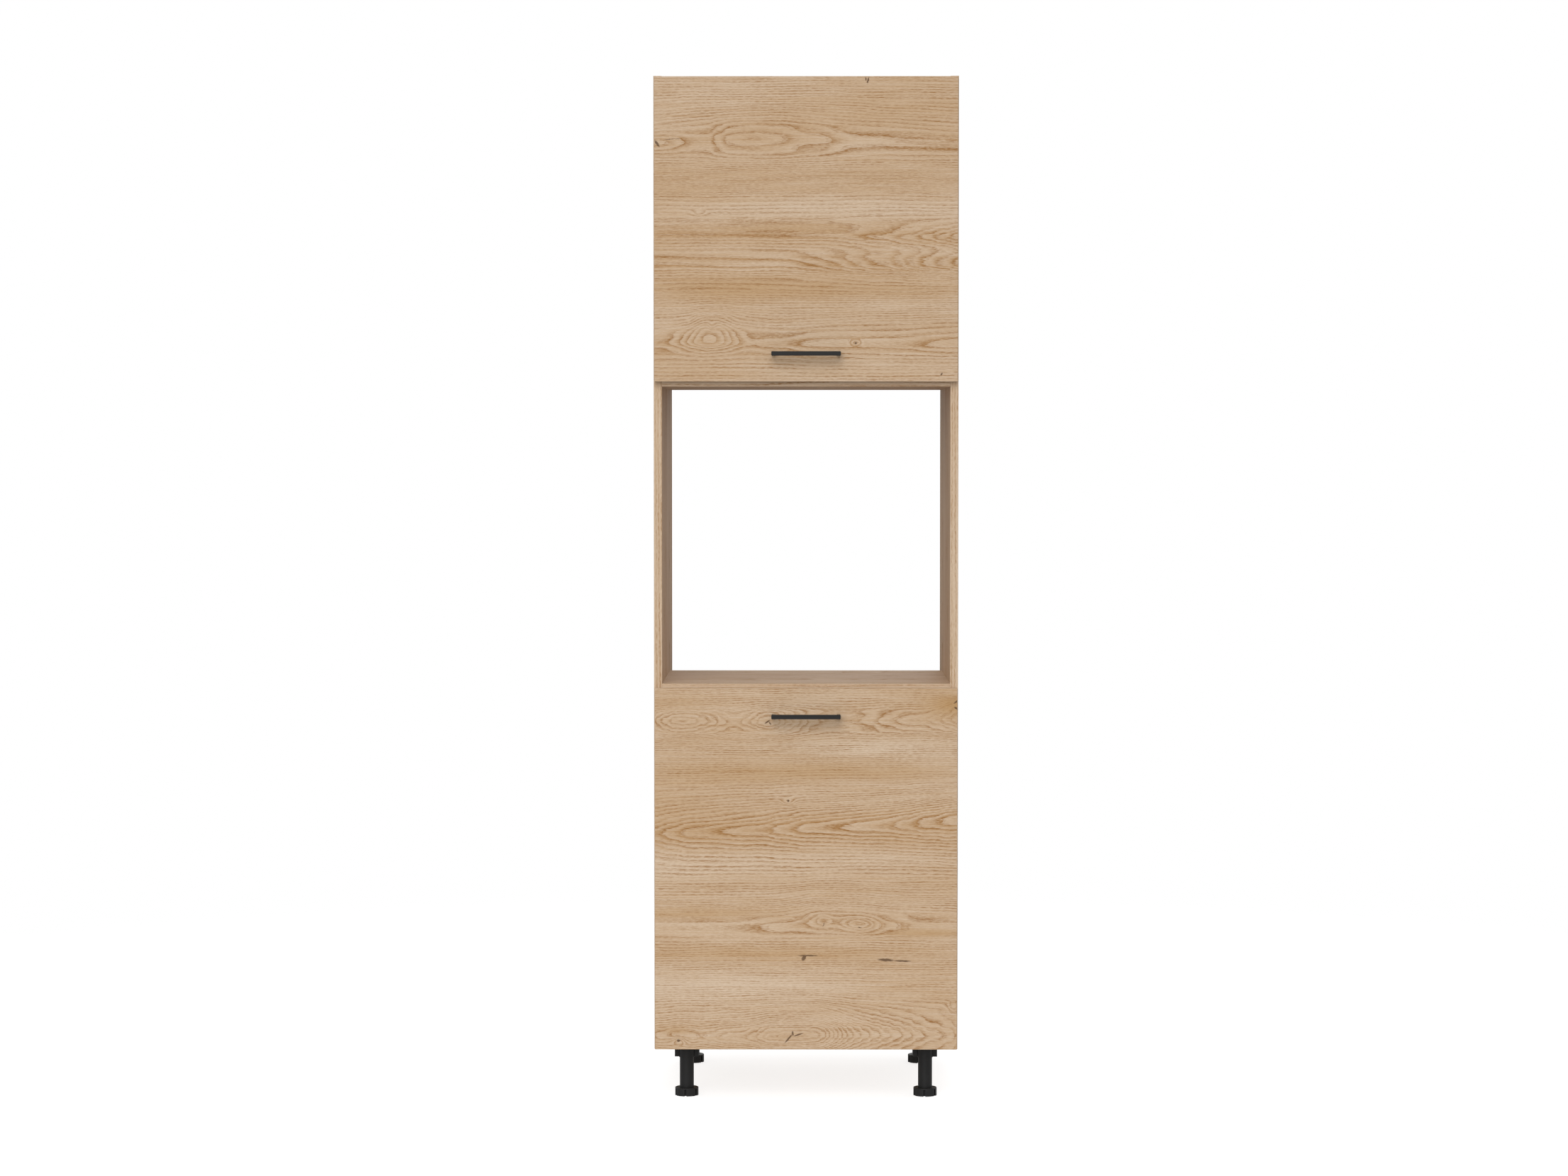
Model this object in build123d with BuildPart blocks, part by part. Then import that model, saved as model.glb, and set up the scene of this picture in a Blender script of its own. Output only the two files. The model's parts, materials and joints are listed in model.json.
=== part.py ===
from build123d import *
import os
from math import atan2, cos, hypot, sin, sqrt

os.makedirs("parts", exist_ok=True)

# Tall appliance housing cabinet, in millimetres.
# The origin is on the floor, at the middle of the cabinet's outer box.
# +X is to the right, +Y is into the cabinet and +Z is up; the fronts face -Y.

# Carcass
cabinet_width = 600
carcass_depth = 560
carcass_height = 1920
board = 16
lower_clear = 693
niche_height = 586
vent_gap = 102
top_setback = 8
edge_round = 0.8

# Thin back panels, in grooves of the sides
back_thickness = 3
back_inset = 10
groove_depth = 8
groove_clearance = 0.1
groove_end_clearance = 0.5

# Shelves and their pins
shelf_setback = 30
shelf_back_gap = 17
shelf_clearance = 1
lower_shelf_share = 0.488
upper_shelf_share = 0.836
shelf_pin_radius = 2.5
shelf_pin_bore = 8
shelf_pin_inset = 60
shelf_tongue_length = 10
shelf_tongue_width = 7
shelf_tongue_height = 3
row_pitch = 32
pin_clearance = 0.05

# Cam fittings and dowels of the panel joints
cam_radius = 7.5
cam_depth = 12.5
cam_inset = 34
cam_from_edge = 60
cam_clearance = 0.1
cam_slot_width = 2
cam_slot_depth = 2.5
bolt_thread_radius = 2.5
bolt_thread_length = 10
bolt_shank_radius = 3
bolt_bore_radius = 4
bolt_grip = 4
dowel_radius = 4
dowel_in_side = 10
dowel_in_panel = 20
dowel_end_clearance = 1

# Fronts
front_board = 16
front_gap = 3
side_reveal = 2
top_reveal = 2.5
bottom_reveal = 2
floor_edge_shown = 8
ceiling_edge_shown = 9.5
bumper_radius = 4
bumper_inset = 30

# Bar handles
handle_spacing = 128
handle_overhang = 4
handle_post = 7
handle_post_height = 6.5
handle_height = 8.5
handle_bar = 10
handle_reach = 32
handle_from_edge = 54.5
handle_round = 0.8
handle_corner = 1.5
screw_radius = 2
screw_clearance = 0.25
screw_grip = 12
screw_head_radius = 4
screw_head_height = 2

# Concealed hinges: a cup in the front, a pin, and an arm on a mounting plate
hinge_from_end = 100
cup_radius = 17.5
cup_depth = 12.5
cup_from_edge = 3
cup_wall = 0.8
cup_clearance = 0.1
flange_thickness = 1.2
flange_rim = 1.5
flange_length = 62
flange_ear = 13
flange_ear_shift = 6
flange_screw_spacing = 48
flange_screw_radius = 2
neck_notch_depth = 4
pivot_depth = 9
corner_clearance = 0.5
hinge_pin_radius = 1.1
knuckle_radius = 2.1
knuckle_width = 10
knuckle_side_gap = 0.4
running_clearance = 0.05
lug_thickness = 3
lug_radius = 2.4
neck_thickness = 1.8
neck_from_panel = 6
neck_bend = 3
arm_length = 56
arm_width = 14
arm_wall = 1.5
arm_lift = 3
plate_rail_height = 10
plate_rail_length = 50
plate_side_gap = 0.2
plate_wing_length = 52
plate_wing_width = 18
plate_thickness = 2
plate_screw_spacing = 32
plate_screw_radius = 2.25
plate_from_front = 37

# Gas struts of the flap
strut_from_side = 14
strut_base_back = 138
strut_base_drop = 258
strut_stud_drop = 36
strut_stud_reach = 18
tube_radius = 7.5
tube_wall = 1.2
tube_start = 16
tube_length = 180
guide_length = 12
rod_radius = 3
piston_length = 8
piston_start = 40
base_eye_radius = 8
base_eye_width = 10
rod_eye_radius = 6
rod_eye_width = 8
stud_radius = 4
stud_overhang = 1
eye_gap = 0.3
bracket_plate = 2
base_plate_depth = 20
base_plate_height = 40
flap_plate_width = 24
flap_plate_height = 36
flap_ear_thickness = 3
flap_ear_width = 14

# Legs
leg_height = 100
leg_from_side = 62.3
leg_from_front = 52
leg_from_back = 103
socket_width = 48
socket_depth = 48
socket_plate = 3
socket_skirt = 23.5
socket_wall = 2
collar_drop = 24
collar_wall = 1.2
stem_radius = 14
stem_clearance = 0.05
foot_radius = 23.2
foot_height = 16
foot_round = 1.2
foot_notches = 6
foot_notch_width = 4
foot_notch_depth = 6
foot_rim = 2.5
foot_turn = -5
spindle_radius = 9
spindle_length = 44
spindle_end_gap = 4
thread_clearance = 0.1

# Angle brackets that tie the cabinet to a wall
wall_bracket_inset = 50
wall_bracket_width = 30
wall_bracket_leg = 40
wall_bracket_sheet = 2
wall_hole_radius = 3.25
wall_hole_drop = 24
wall_screw_play = 1.75

# Places worked out from the sizes above
half_width = cabinet_width / 2
inner_half = half_width - board
total_depth = handle_reach + front_board + front_gap + carcass_depth
front_y = -total_depth / 2 + handle_reach + front_board + front_gap
carcass_middle_y = front_y + carcass_depth / 2
panel_depth = carcass_depth - back_inset - back_thickness
niche_depth = panel_depth - vent_gap
shelf_depth = panel_depth - shelf_setback - shelf_back_gap
back_y = front_y + panel_depth
fronts_back_y = front_y - front_gap
fronts_face_y = fronts_back_y - front_board
carcass_base_z = leg_height
carcass_top_z = leg_height + carcass_height
bottom_top_z = carcass_base_z + board
niche_floor_z = bottom_top_z + lower_clear
niche_ceiling_z = niche_floor_z + board + niche_height
ceiling_top_z = niche_ceiling_z + board
top_under_z = carcass_top_z - board
front_width = cabinet_width - 2 * side_reveal
door_base_z = carcass_base_z + bottom_reveal
door_height = niche_floor_z + board - floor_edge_shown - door_base_z
flap_base_z = niche_ceiling_z + ceiling_edge_shown
flap_height = carcass_top_z - top_reveal - flap_base_z
room_under_struts = top_under_z - strut_base_drop - base_plate_height / 2 - ceiling_top_z
lower_shelf_z = bottom_top_z + lower_shelf_share * lower_clear
upper_shelf_z = ceiling_top_z + upper_shelf_share * room_under_struts
wall_bracket_spacing = cabinet_width - 2 * wall_bracket_inset
leg_from_middle = half_width - leg_from_side
leg_row_distance = carcass_depth - leg_from_front - leg_from_back
shelf_front_y = front_y + shelf_setback
shelf_pin_ys = (shelf_front_y + shelf_pin_inset, shelf_front_y + shelf_depth - shelf_pin_inset)
shelf_pin_zs = (lower_shelf_z - shelf_tongue_height / 2, upper_shelf_z - shelf_tongue_height / 2)

# The horizontal boards: name, underside, front edge, depth, and the face that hides the cams
boards = (
    ("bottom_panel", carcass_base_z, front_y, panel_depth, -1),
    ("niche_floor", niche_floor_z, front_y, niche_depth, -1),
    ("niche_ceiling", niche_ceiling_z, front_y, niche_depth, 1),
    ("top_panel", top_under_z, front_y + top_setback, panel_depth - top_setback, 1),
)

# Turns that lay a cylinder's axis along X or Y
along_x = (0, 90, 0)
along_y = (90, 0, 0)


def save(builder, name):
    """Label a finished piece and write it."""
    builder.part.label = name
    export_step(builder.part, f"parts/{name}.step")


def bore(points, radius, depth, turn=(0, 0, 0)):
    """Blind bores from the faces that the points lie on, as deep either way."""
    with Locations(*points):
        Cylinder(radius, 2 * depth, rotation=turn, mode=Mode.SUBTRACT)


def joint_rows(board_front, board_depth):
    """Where a board's two cam fittings and its dowel sit along its depth."""
    cams = (board_front + cam_from_edge, board_front + board_depth - cam_from_edge)
    return cams, board_front + board_depth / 2


# Side panels: one full-height board each, grooved for the backs and bored for the fittings
def side_panel(name, side):
    face_x = side * inner_half
    bolt_points = []
    dowel_points = []
    for _, under_z, board_front, board_depth, _ in boards:
        cams, dowel_y = joint_rows(board_front, board_depth)
        middle_z = under_z + board / 2
        bolt_points += [(face_x, y, middle_z) for y in cams]
        dowel_points.append((face_x, dowel_y, middle_z))
    pin_points = [
        (face_x, y, z + step * row_pitch) for y in shelf_pin_ys for z in shelf_pin_zs for step in (-1, 0, 1)
    ]
    with BuildPart() as panel:
        with Locations((side * (half_width - board / 2), carcass_middle_y, carcass_base_z)):
            Box(board, carcass_depth, carcass_height, align=(Align.CENTER, Align.CENTER, Align.MIN))
        fillet(panel.edges().filter_by(Axis.Z).group_by(Axis.Y)[0], edge_round)
        with Locations((face_x, back_y + back_thickness / 2, carcass_base_z + carcass_height / 2)):
            Box(2 * groove_depth, back_thickness + 2 * groove_clearance, carcass_height, mode=Mode.SUBTRACT)
        bore(bolt_points, bolt_thread_radius + pin_clearance, bolt_thread_length, along_x)
        bore(dowel_points, dowel_radius + pin_clearance, dowel_in_side + dowel_end_clearance, along_x)
        bore(pin_points, shelf_pin_radius + pin_clearance, shelf_pin_bore + dowel_end_clearance, along_x)
    save(panel, name)


side_panel("side_panel_left", -1)
side_panel("side_panel_right", 1)


# Horizontal boards between the sides, bored in their ends and hidden faces
def cross_board(name, under_z, board_front, board_depth, hidden):
    cams, dowel_y = joint_rows(board_front, board_depth)
    middle_z = under_z + board / 2
    hidden_z = middle_z + hidden * board / 2
    ends = (-inner_half, inner_half)
    cam_points = [(side * (inner_half - cam_inset), y, hidden_z) for side in (-1, 1) for y in cams]
    with BuildPart() as panel:
        with Locations((0, board_front, under_z)):
            Box(2 * inner_half, board_depth, board, align=(Align.CENTER, Align.MIN, Align.MIN))
        fillet(panel.edges().filter_by(Axis.X).group_by(Axis.Y)[0], edge_round)
        bore(cam_points, cam_radius + cam_clearance, cam_depth)
        bore([(x, y, middle_z) for x in ends for y in cams], bolt_bore_radius, cam_inset, along_x)
        dowel_points = [(x, dowel_y, middle_z) for x in ends]
        bore(dowel_points, dowel_radius + pin_clearance, dowel_in_panel + dowel_end_clearance, along_x)
    save(panel, name)


for board_row in boards:
    cross_board(*board_row)


# Back panels of fibreboard, behind the lower and upper compartments only
def back_panel(name, base_z, height, holes):
    width = 2 * (inner_half + groove_depth - groove_end_clearance)
    with BuildPart() as panel:
        with Locations((0, back_y, base_z)):
            Box(width, back_thickness, height, align=(Align.CENTER, Align.MIN, Align.MIN))
        if holes:
            bore(holes, wall_hole_radius + wall_screw_play, back_thickness, along_y)
    save(panel, name)


wall_hole_z = top_under_z - wall_hole_drop
wall_holes = [(side * wall_bracket_spacing / 2, back_y, wall_hole_z) for side in (-1, 1)]
back_panel("back_panel_lower", carcass_base_z, niche_floor_z - carcass_base_z, [])
back_panel("back_panel_upper", ceiling_top_z, carcass_top_z - ceiling_top_z, wall_holes)


# Loose shelves, each on four pins
for shelf_name, shelf_z in (("lower_shelf", lower_shelf_z), ("upper_shelf", upper_shelf_z)):
    with BuildPart() as shelf:
        with Locations((0, shelf_front_y, shelf_z)):
            shelf_width = 2 * (inner_half - shelf_clearance)
            Box(shelf_width, shelf_depth, board, align=(Align.CENTER, Align.MIN, Align.MIN))
        fillet(shelf.edges().filter_by(Axis.X).group_by(Axis.Y)[0], edge_round)
    save(shelf, shelf_name)

# A shelf pin is a peg in the side with a flat tongue under the shelf
with BuildPart() as shelf_pins:
    for side in (-1, 1):
        for pin_y in shelf_pin_ys:
            for pin_z in shelf_pin_zs:
                with Locations((side * (inner_half + shelf_pin_bore / 2), pin_y, pin_z)):
                    Cylinder(shelf_pin_radius, shelf_pin_bore, rotation=along_x)
                with Locations((side * (inner_half - shelf_tongue_length / 2), pin_y, pin_z)):
                    Box(shelf_tongue_length, shelf_tongue_width, shelf_tongue_height)
save(shelf_pins, "shelf_pins")

# Dowels, one in each panel joint
with BuildPart() as dowels:
    for _, under_z, board_front, board_depth, _ in boards:
        _, dowel_y = joint_rows(board_front, board_depth)
        for side in (-1, 1):
            dowel_x = side * (inner_half + (dowel_in_side - dowel_in_panel) / 2)
            with Locations((dowel_x, dowel_y, under_z + board / 2)):
                Cylinder(dowel_radius, dowel_in_side + dowel_in_panel, rotation=along_x)
save(dowels, "dowels")

# Cam discs, slotted for a screwdriver, each with a pocket for its bolt's head
with BuildPart() as cam_discs:
    for _, under_z, board_front, board_depth, hidden in boards:
        hidden_z = under_z + board / 2 + hidden * board / 2
        for side in (-1, 1):
            for cam_y in joint_rows(board_front, board_depth)[0]:
                cam_x = side * (inner_half - cam_inset)
                with Locations((cam_x, cam_y, hidden_z - hidden * cam_depth / 2)):
                    Cylinder(cam_radius, cam_depth)
                with Locations((cam_x, cam_y, hidden_z)):
                    Box(2 * cam_radius, cam_slot_width, 2 * cam_slot_depth, mode=Mode.SUBTRACT)
                with Locations((cam_x + side * cam_radius, cam_y, under_z + board / 2)):
                    pocket = bolt_shank_radius + cam_clearance
                    Cylinder(pocket, 2 * (bolt_grip + cam_clearance), rotation=along_x, mode=Mode.SUBTRACT)
save(cam_discs, "cam_discs")

# Cam bolts, screwed into the sides and reaching into the discs
with BuildPart() as cam_bolts:
    shank_length = cam_inset - cam_radius + bolt_grip
    for _, under_z, board_front, board_depth, _ in boards:
        for side in (-1, 1):
            for cam_y in joint_rows(board_front, board_depth)[0]:
                middle_z = under_z + board / 2
                with Locations((side * (inner_half + bolt_thread_length / 2), cam_y, middle_z)):
                    Cylinder(bolt_thread_radius, bolt_thread_length, rotation=along_x)
                with Locations((side * (inner_half - shank_length / 2), cam_y, middle_z)):
                    Cylinder(bolt_shank_radius, shank_length, rotation=along_x)
save(cam_bolts, "cam_bolts")

# Angle brackets under the top panel, with a hole for the wall screw
wall_profile_plane = Plane(origin=(0, back_y, top_under_z), x_dir=(0, 1, 0), z_dir=(1, 0, 0))
with BuildPart() as wall_brackets:
    for side in (-1, 1):
        bracket_x = side * wall_bracket_spacing / 2 - wall_bracket_width / 2
        with BuildSketch(wall_profile_plane.offset(bracket_x)):
            Rectangle(wall_bracket_leg, wall_bracket_sheet, align=(Align.MAX, Align.MAX))
            Rectangle(wall_bracket_sheet, wall_bracket_leg, align=(Align.MAX, Align.MAX))
        extrude(amount=wall_bracket_width)
    bore(wall_holes, wall_hole_radius, 2 * wall_bracket_sheet, along_y)
save(wall_brackets, "wall_brackets")


# Fronts: a board with rounded edges, bored for its hinge cups and handle screws
def front(name, base_z, height, handle_z, cup_points):
    screw_points = [(side * handle_spacing / 2, fronts_back_y, handle_z) for side in (-1, 1)]
    with BuildPart() as panel:
        with Locations((0, fronts_face_y, base_z)):
            Box(front_width, front_board, height, align=(Align.CENTER, Align.MIN, Align.MIN))
        fillet(panel.faces().sort_by(Axis.Y)[0].edges(), edge_round)
        fillet(panel.faces().sort_by(Axis.Y)[-1].edges(), edge_round)
        bore(cup_points, cup_radius, cup_depth, along_y)
        bore(screw_points, screw_radius + screw_clearance, 2 * front_board, along_y)
    save(panel, name)


door_overlay = board - side_reveal
flap_overlay = board - top_reveal
cup_centre_from_edge = cup_from_edge + cup_radius
door_hinge_zs = (door_base_z + hinge_from_end, door_base_z + door_height - hinge_from_end)
flap_hinge_xs = (hinge_from_end - front_width / 2, front_width / 2 - hinge_from_end)
door_cup_x = cup_centre_from_edge - front_width / 2
flap_cup_z = flap_base_z + flap_height - cup_centre_from_edge
door_handle_z = door_base_z + door_height - handle_from_edge
flap_handle_z = flap_base_z + handle_from_edge

door_cups = [(door_cup_x, fronts_back_y, z) for z in door_hinge_zs]
flap_cups = [(x, fronts_back_y, flap_cup_z) for x in flap_hinge_xs]
front("lower_door", door_base_z, door_height, door_handle_z, door_cups)
front("upper_flap", flap_base_z, flap_height, flap_handle_z, flap_cups)


# Handles: a flat bar with rounded ends on two slimmer posts, held from behind by two screws
def handle(name, middle_z):
    post_points = [(side * handle_spacing / 2, fronts_face_y, middle_z) for side in (-1, 1)]
    post_length = handle_reach - handle_bar
    with BuildPart() as bar:
        with Locations((0, fronts_face_y - handle_reach, middle_z)):
            bar_length = handle_spacing + 2 * handle_overhang
            Box(bar_length, handle_bar, handle_height, align=(Align.CENTER, Align.MIN, Align.CENTER))
        fillet(bar.edges().filter_by(Axis.Y), handle_corner)
        fillet(bar.faces().sort_by(Axis.Y)[0].edges(), handle_round)
        with Locations(post_points):
            Box(handle_post, post_length, handle_post_height, align=(Align.CENTER, Align.MAX, Align.CENTER))
        bore(post_points, screw_radius + pin_clearance, screw_grip + pin_clearance, along_y)
    save(bar, name)


def handle_screws(name, middle_z):
    with BuildPart() as screws:
        for side in (-1, 1):
            screw_x = side * handle_spacing / 2
            with BuildSketch(Plane((screw_x, fronts_back_y, middle_z), x_dir=(1, 0, 0), z_dir=(0, -1, 0))):
                Circle(screw_radius)
            extrude(amount=front_board + screw_grip)
            with BuildSketch(Plane((screw_x, fronts_back_y, middle_z), x_dir=(1, 0, 0), z_dir=(0, 1, 0))):
                Circle(screw_head_radius)
            extrude(amount=screw_head_height)
    save(screws, name)


handle("lower_handle", door_handle_z)
handle("upper_handle", flap_handle_z)
handle_screws("lower_handle_screws", door_handle_z)
handle_screws("upper_handle_screws", flap_handle_z)

# Soft bumpers on the front edges of the sides, where the fronts close on them
bumper_x = half_width - board / 2
bumper_points = [
    (bumper_x, door_base_z + bumper_inset),
    (bumper_x, door_base_z + door_height - bumper_inset),
    (-bumper_x, flap_base_z + bumper_inset),
    (bumper_x, flap_base_z + bumper_inset),
]
with BuildPart() as front_bumpers:
    with Locations(*[(x, front_y - front_gap / 2, z) for x, z in bumper_points]):
        Cylinder(bumper_radius, front_gap, rotation=along_y)
save(front_bumpers, "front_bumpers")

# The hinge pin lies as far from the front's edge as the swing of its back corner allows
swing_room = front_gap - corner_clearance
pivot_from_edge = sqrt(swing_room**2 + 2 * swing_room * pivot_depth)
pivot_y = -(front_gap + pivot_depth)
lug_inner = knuckle_width / 2 + knuckle_side_gap
pin_half_length = lug_inner + lug_thickness
arm_start = plate_from_front - plate_rail_length / 2


# A hinge's own frame: x away from the board that carries it, y into the cabinet, z along the pin
def hinge_frame(origin, away):
    return Plane(origin=origin, x_dir=away, z_dir=Vector(*away).cross(Vector(0, 1, 0)))


def hinge_section(frame, x, y, z):
    """Plane across the pin's direction, with its origin at a point of the hinge's frame."""
    return Plane(origin=frame.from_local_coords((x, y, z)), x_dir=frame.x_dir, z_dir=frame.z_dir)


def hinge_cup(name, frame, overlay):
    """Pressed cup with a screw flange, two lugs for the pin and a notch that lets the neck swing out."""
    cup_x = cup_centre_from_edge - overlay
    pivot_x = pivot_from_edge - overlay
    across = Plane(
        origin=frame.from_local_coords((cup_x, -front_gap, 0)), x_dir=frame.x_dir, z_dir=(0, -1, 0)
    )
    ear_holes = [(flange_ear_shift, side * flange_screw_spacing / 2) for side in (-1, 1)]
    outer_radius = cup_radius - cup_clearance
    inner_radius = outer_radius - cup_wall
    outer_depth = cup_depth - cup_clearance
    with BuildPart() as cup:
        for low_z in (lug_inner, -lug_inner - lug_thickness):
            with BuildSketch(hinge_section(frame, pivot_x, pivot_y, low_z)):
                Circle(lug_radius)
                Rectangle(2 * lug_radius, outer_depth - pivot_depth, align=(Align.CENTER, Align.MAX))
            extrude(amount=lug_thickness)
        with BuildSketch(across):
            Circle(outer_radius)
        extrude(amount=outer_depth, mode=Mode.INTERSECT)
        with BuildSketch(across):
            Circle(outer_radius)
            Circle(inner_radius, mode=Mode.SUBTRACT)
        extrude(amount=outer_depth)
        with BuildSketch(across.offset(outer_depth - cup_wall)):
            Circle(outer_radius)
        extrude(amount=cup_wall)
        with BuildSketch(across.offset(-flange_thickness)):
            Circle(cup_radius + flange_rim)
            with Locations((flange_ear_shift, 0)):
                SlotOverall(flange_length, flange_ear, rotation=90)
            Circle(inner_radius, mode=Mode.SUBTRACT)
            with Locations(*ear_holes):
                Circle(flange_screw_radius, mode=Mode.SUBTRACT)
        extrude(amount=flange_thickness)
        with BuildSketch(across.offset(-flange_thickness)):
            with Locations((pivot_x - cup_x, 0)):
                Rectangle(cup_radius, 2 * lug_inner, align=(Align.MAX, Align.CENTER))
        extrude(amount=flange_thickness + neck_notch_depth, mode=Mode.SUBTRACT)
        with BuildSketch(hinge_section(frame, pivot_x, pivot_y, -pin_half_length)):
            Circle(hinge_pin_radius)
        extrude(amount=2 * pin_half_length, mode=Mode.SUBTRACT)
    save(cup, name)


def hinge_arm(name, frame, overlay):
    """Cranked neck from the pin's knuckle to a channel that grips the mounting plate's rail."""
    pivot_x = pivot_from_edge - overlay
    neck_top = plate_rail_height + neck_thickness / 2
    neck_points = [
        (pivot_x, pivot_y),
        (neck_from_panel, pivot_y),
        (neck_from_panel, arm_start - 4 * neck_bend),
        (neck_top, arm_start - neck_bend),
        (neck_top, arm_start + 3 * neck_bend),
    ]
    low = frame.offset(-knuckle_width / 2)
    channel = Plane(origin=frame.from_local_coords((0, arm_start, 0)), x_dir=frame.x_dir, z_dir=(0, 1, 0))
    outer_height = plate_rail_height + arm_wall - arm_lift
    inner_height = plate_rail_height - arm_lift
    edge = (Align.MIN, Align.CENTER)
    with BuildPart() as arm:
        with BuildSketch(low):
            with BuildLine():
                FilletPolyline(*neck_points, radius=neck_bend)
                offset(amount=neck_thickness / 2, side=Side.BOTH)
            make_face()
            with Locations((pivot_x, pivot_y)):
                Circle(knuckle_radius)
        extrude(amount=knuckle_width)
        with BuildSketch(channel):
            with Locations((arm_lift, 0)):
                Rectangle(outer_height, arm_width, align=edge)
                Rectangle(inner_height, arm_width - 2 * arm_wall, align=edge, mode=Mode.SUBTRACT)
        extrude(amount=arm_length)
        with BuildSketch(low):
            with Locations((pivot_x, pivot_y)):
                Circle(hinge_pin_radius + running_clearance)
        extrude(amount=knuckle_width, mode=Mode.SUBTRACT)
    save(arm, name)


def mounting_plate(name, frame):
    """Winged plate on the board, with the rail that the arm slides on."""
    middle = frame.from_local_coords((0, plate_from_front, 0))
    wings = Plane(origin=middle, x_dir=(0, 1, 0), z_dir=frame.x_dir)
    rail_width = arm_width - 2 * arm_wall - 2 * plate_side_gap
    with BuildPart() as plate:
        with BuildSketch(wings):
            SlotOverall(plate_wing_length, plate_wing_width, rotation=90)
            with Locations((0, -plate_screw_spacing / 2), (0, plate_screw_spacing / 2)):
                Circle(plate_screw_radius, mode=Mode.SUBTRACT)
        extrude(amount=plate_thickness)
        with BuildSketch(wings):
            Rectangle(plate_rail_length, rail_width)
        extrude(amount=plate_rail_height)
    save(plate, name)


def hinge_pins(name, frames, overlay):
    """The pins of one front's two hinges."""
    pivot_x = pivot_from_edge - overlay
    with BuildPart() as pins:
        for frame in frames:
            with BuildSketch(hinge_section(frame, pivot_x, pivot_y, -pin_half_length)):
                Circle(hinge_pin_radius)
            extrude(amount=2 * pin_half_length)
    save(pins, name)


door_frames = [hinge_frame((-inner_half, front_y, z), (1, 0, 0)) for z in door_hinge_zs]
flap_frames = [hinge_frame((x, front_y, top_under_z), (0, 0, -1)) for x in flap_hinge_xs]
hinges = (
    ("door_hinge_lower", door_frames[0], door_overlay),
    ("door_hinge_upper", door_frames[1], door_overlay),
    ("flap_hinge_left", flap_frames[0], flap_overlay),
    ("flap_hinge_right", flap_frames[1], flap_overlay),
)
for hinge_name, hinge_plane, overlay in hinges:
    hinge_cup(f"{hinge_name}_cup", hinge_plane, overlay)
    hinge_arm(f"{hinge_name}_arm", hinge_plane, overlay)
    mounting_plate(f"{hinge_name}_plate", hinge_plane)
hinge_pins("door_hinge_pins", door_frames, door_overlay)
hinge_pins("flap_hinge_pins", flap_frames, flap_overlay)

# Gas struts: the tube turns on a stud of the side, the rod's eye meets a stud of the flap
strut_base_y = front_y + strut_base_back
strut_base_z = top_under_z - strut_base_drop
strut_stud_y = fronts_back_y + strut_stud_reach
strut_stud_z = top_under_z - strut_stud_drop
strut_angle = atan2(strut_stud_z - strut_base_z, strut_stud_y - strut_base_y)
strut_length = hypot(strut_stud_z - strut_base_z, strut_stud_y - strut_base_y)
strut_x = inner_half - strut_from_side
strut_direction = (0, cos(strut_angle), sin(strut_angle))
tube_bore = tube_radius - tube_wall


def strut_frame(side):
    """Origin on the base stud, z along the strut and x along the studs."""
    return Plane(origin=(side * strut_x, strut_base_y, strut_base_z), x_dir=(1, 0, 0), z_dir=strut_direction)


def strut_tube(name, side):
    frame = strut_frame(side)
    section = Plane(origin=frame.origin, x_dir=frame.x_dir, z_dir=-frame.y_dir)
    end = tube_start + tube_length
    with BuildPart() as tube:
        with BuildSketch(section):
            with BuildLine():
                Polyline(
                    (0, base_eye_radius / 2),
                    (stud_radius, base_eye_radius / 2),
                    (tube_radius, tube_start),
                    (tube_radius, end),
                    (rod_radius + running_clearance, end),
                    (rod_radius + running_clearance, end - guide_length),
                    (tube_bore, end - guide_length),
                    (tube_bore, tube_start + tube_wall),
                    (0, tube_start + tube_wall),
                    close=True,
                )
            make_face()
        revolve(axis=Axis(frame.origin, frame.z_dir))
        with BuildSketch(Plane(origin=frame.origin, x_dir=(0, 1, 0), z_dir=(1, 0, 0))):
            Circle(base_eye_radius)
        extrude(amount=base_eye_width / 2, both=True)
        with BuildSketch(Plane(origin=frame.origin, x_dir=(0, 1, 0), z_dir=(1, 0, 0))):
            Circle(stud_radius + running_clearance)
        extrude(amount=base_eye_width / 2, both=True, mode=Mode.SUBTRACT)
    save(tube, name)


def strut_rod(name, side):
    frame = strut_frame(side)
    eye_origin = frame.from_local_coords((0, 0, strut_length))
    with BuildPart() as rod:
        with BuildSketch(frame.offset(piston_start)):
            Circle(tube_bore - running_clearance)
        extrude(amount=piston_length)
        with BuildSketch(frame.offset(piston_start)):
            Circle(rod_radius)
        extrude(amount=strut_length - piston_start)
        with BuildSketch(Plane(origin=eye_origin, x_dir=(0, 1, 0), z_dir=(1, 0, 0))):
            Circle(rod_eye_radius)
        extrude(amount=rod_eye_width / 2, both=True)
    save(rod, name)


def strut_base(name, side):
    """Plate on the side panel with the stud that the tube's eye turns on."""
    face = Plane(origin=(side * inner_half, strut_base_y, strut_base_z), x_dir=(0, 1, 0), z_dir=(-side, 0, 0))
    with BuildPart() as base:
        with BuildSketch(face):
            RectangleRounded(base_plate_depth, base_plate_height, stud_radius)
        extrude(amount=bracket_plate)
        with BuildSketch(face):
            Circle(stud_radius)
        extrude(amount=strut_from_side + base_eye_width / 2 + stud_overhang)
    save(base, name)


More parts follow.
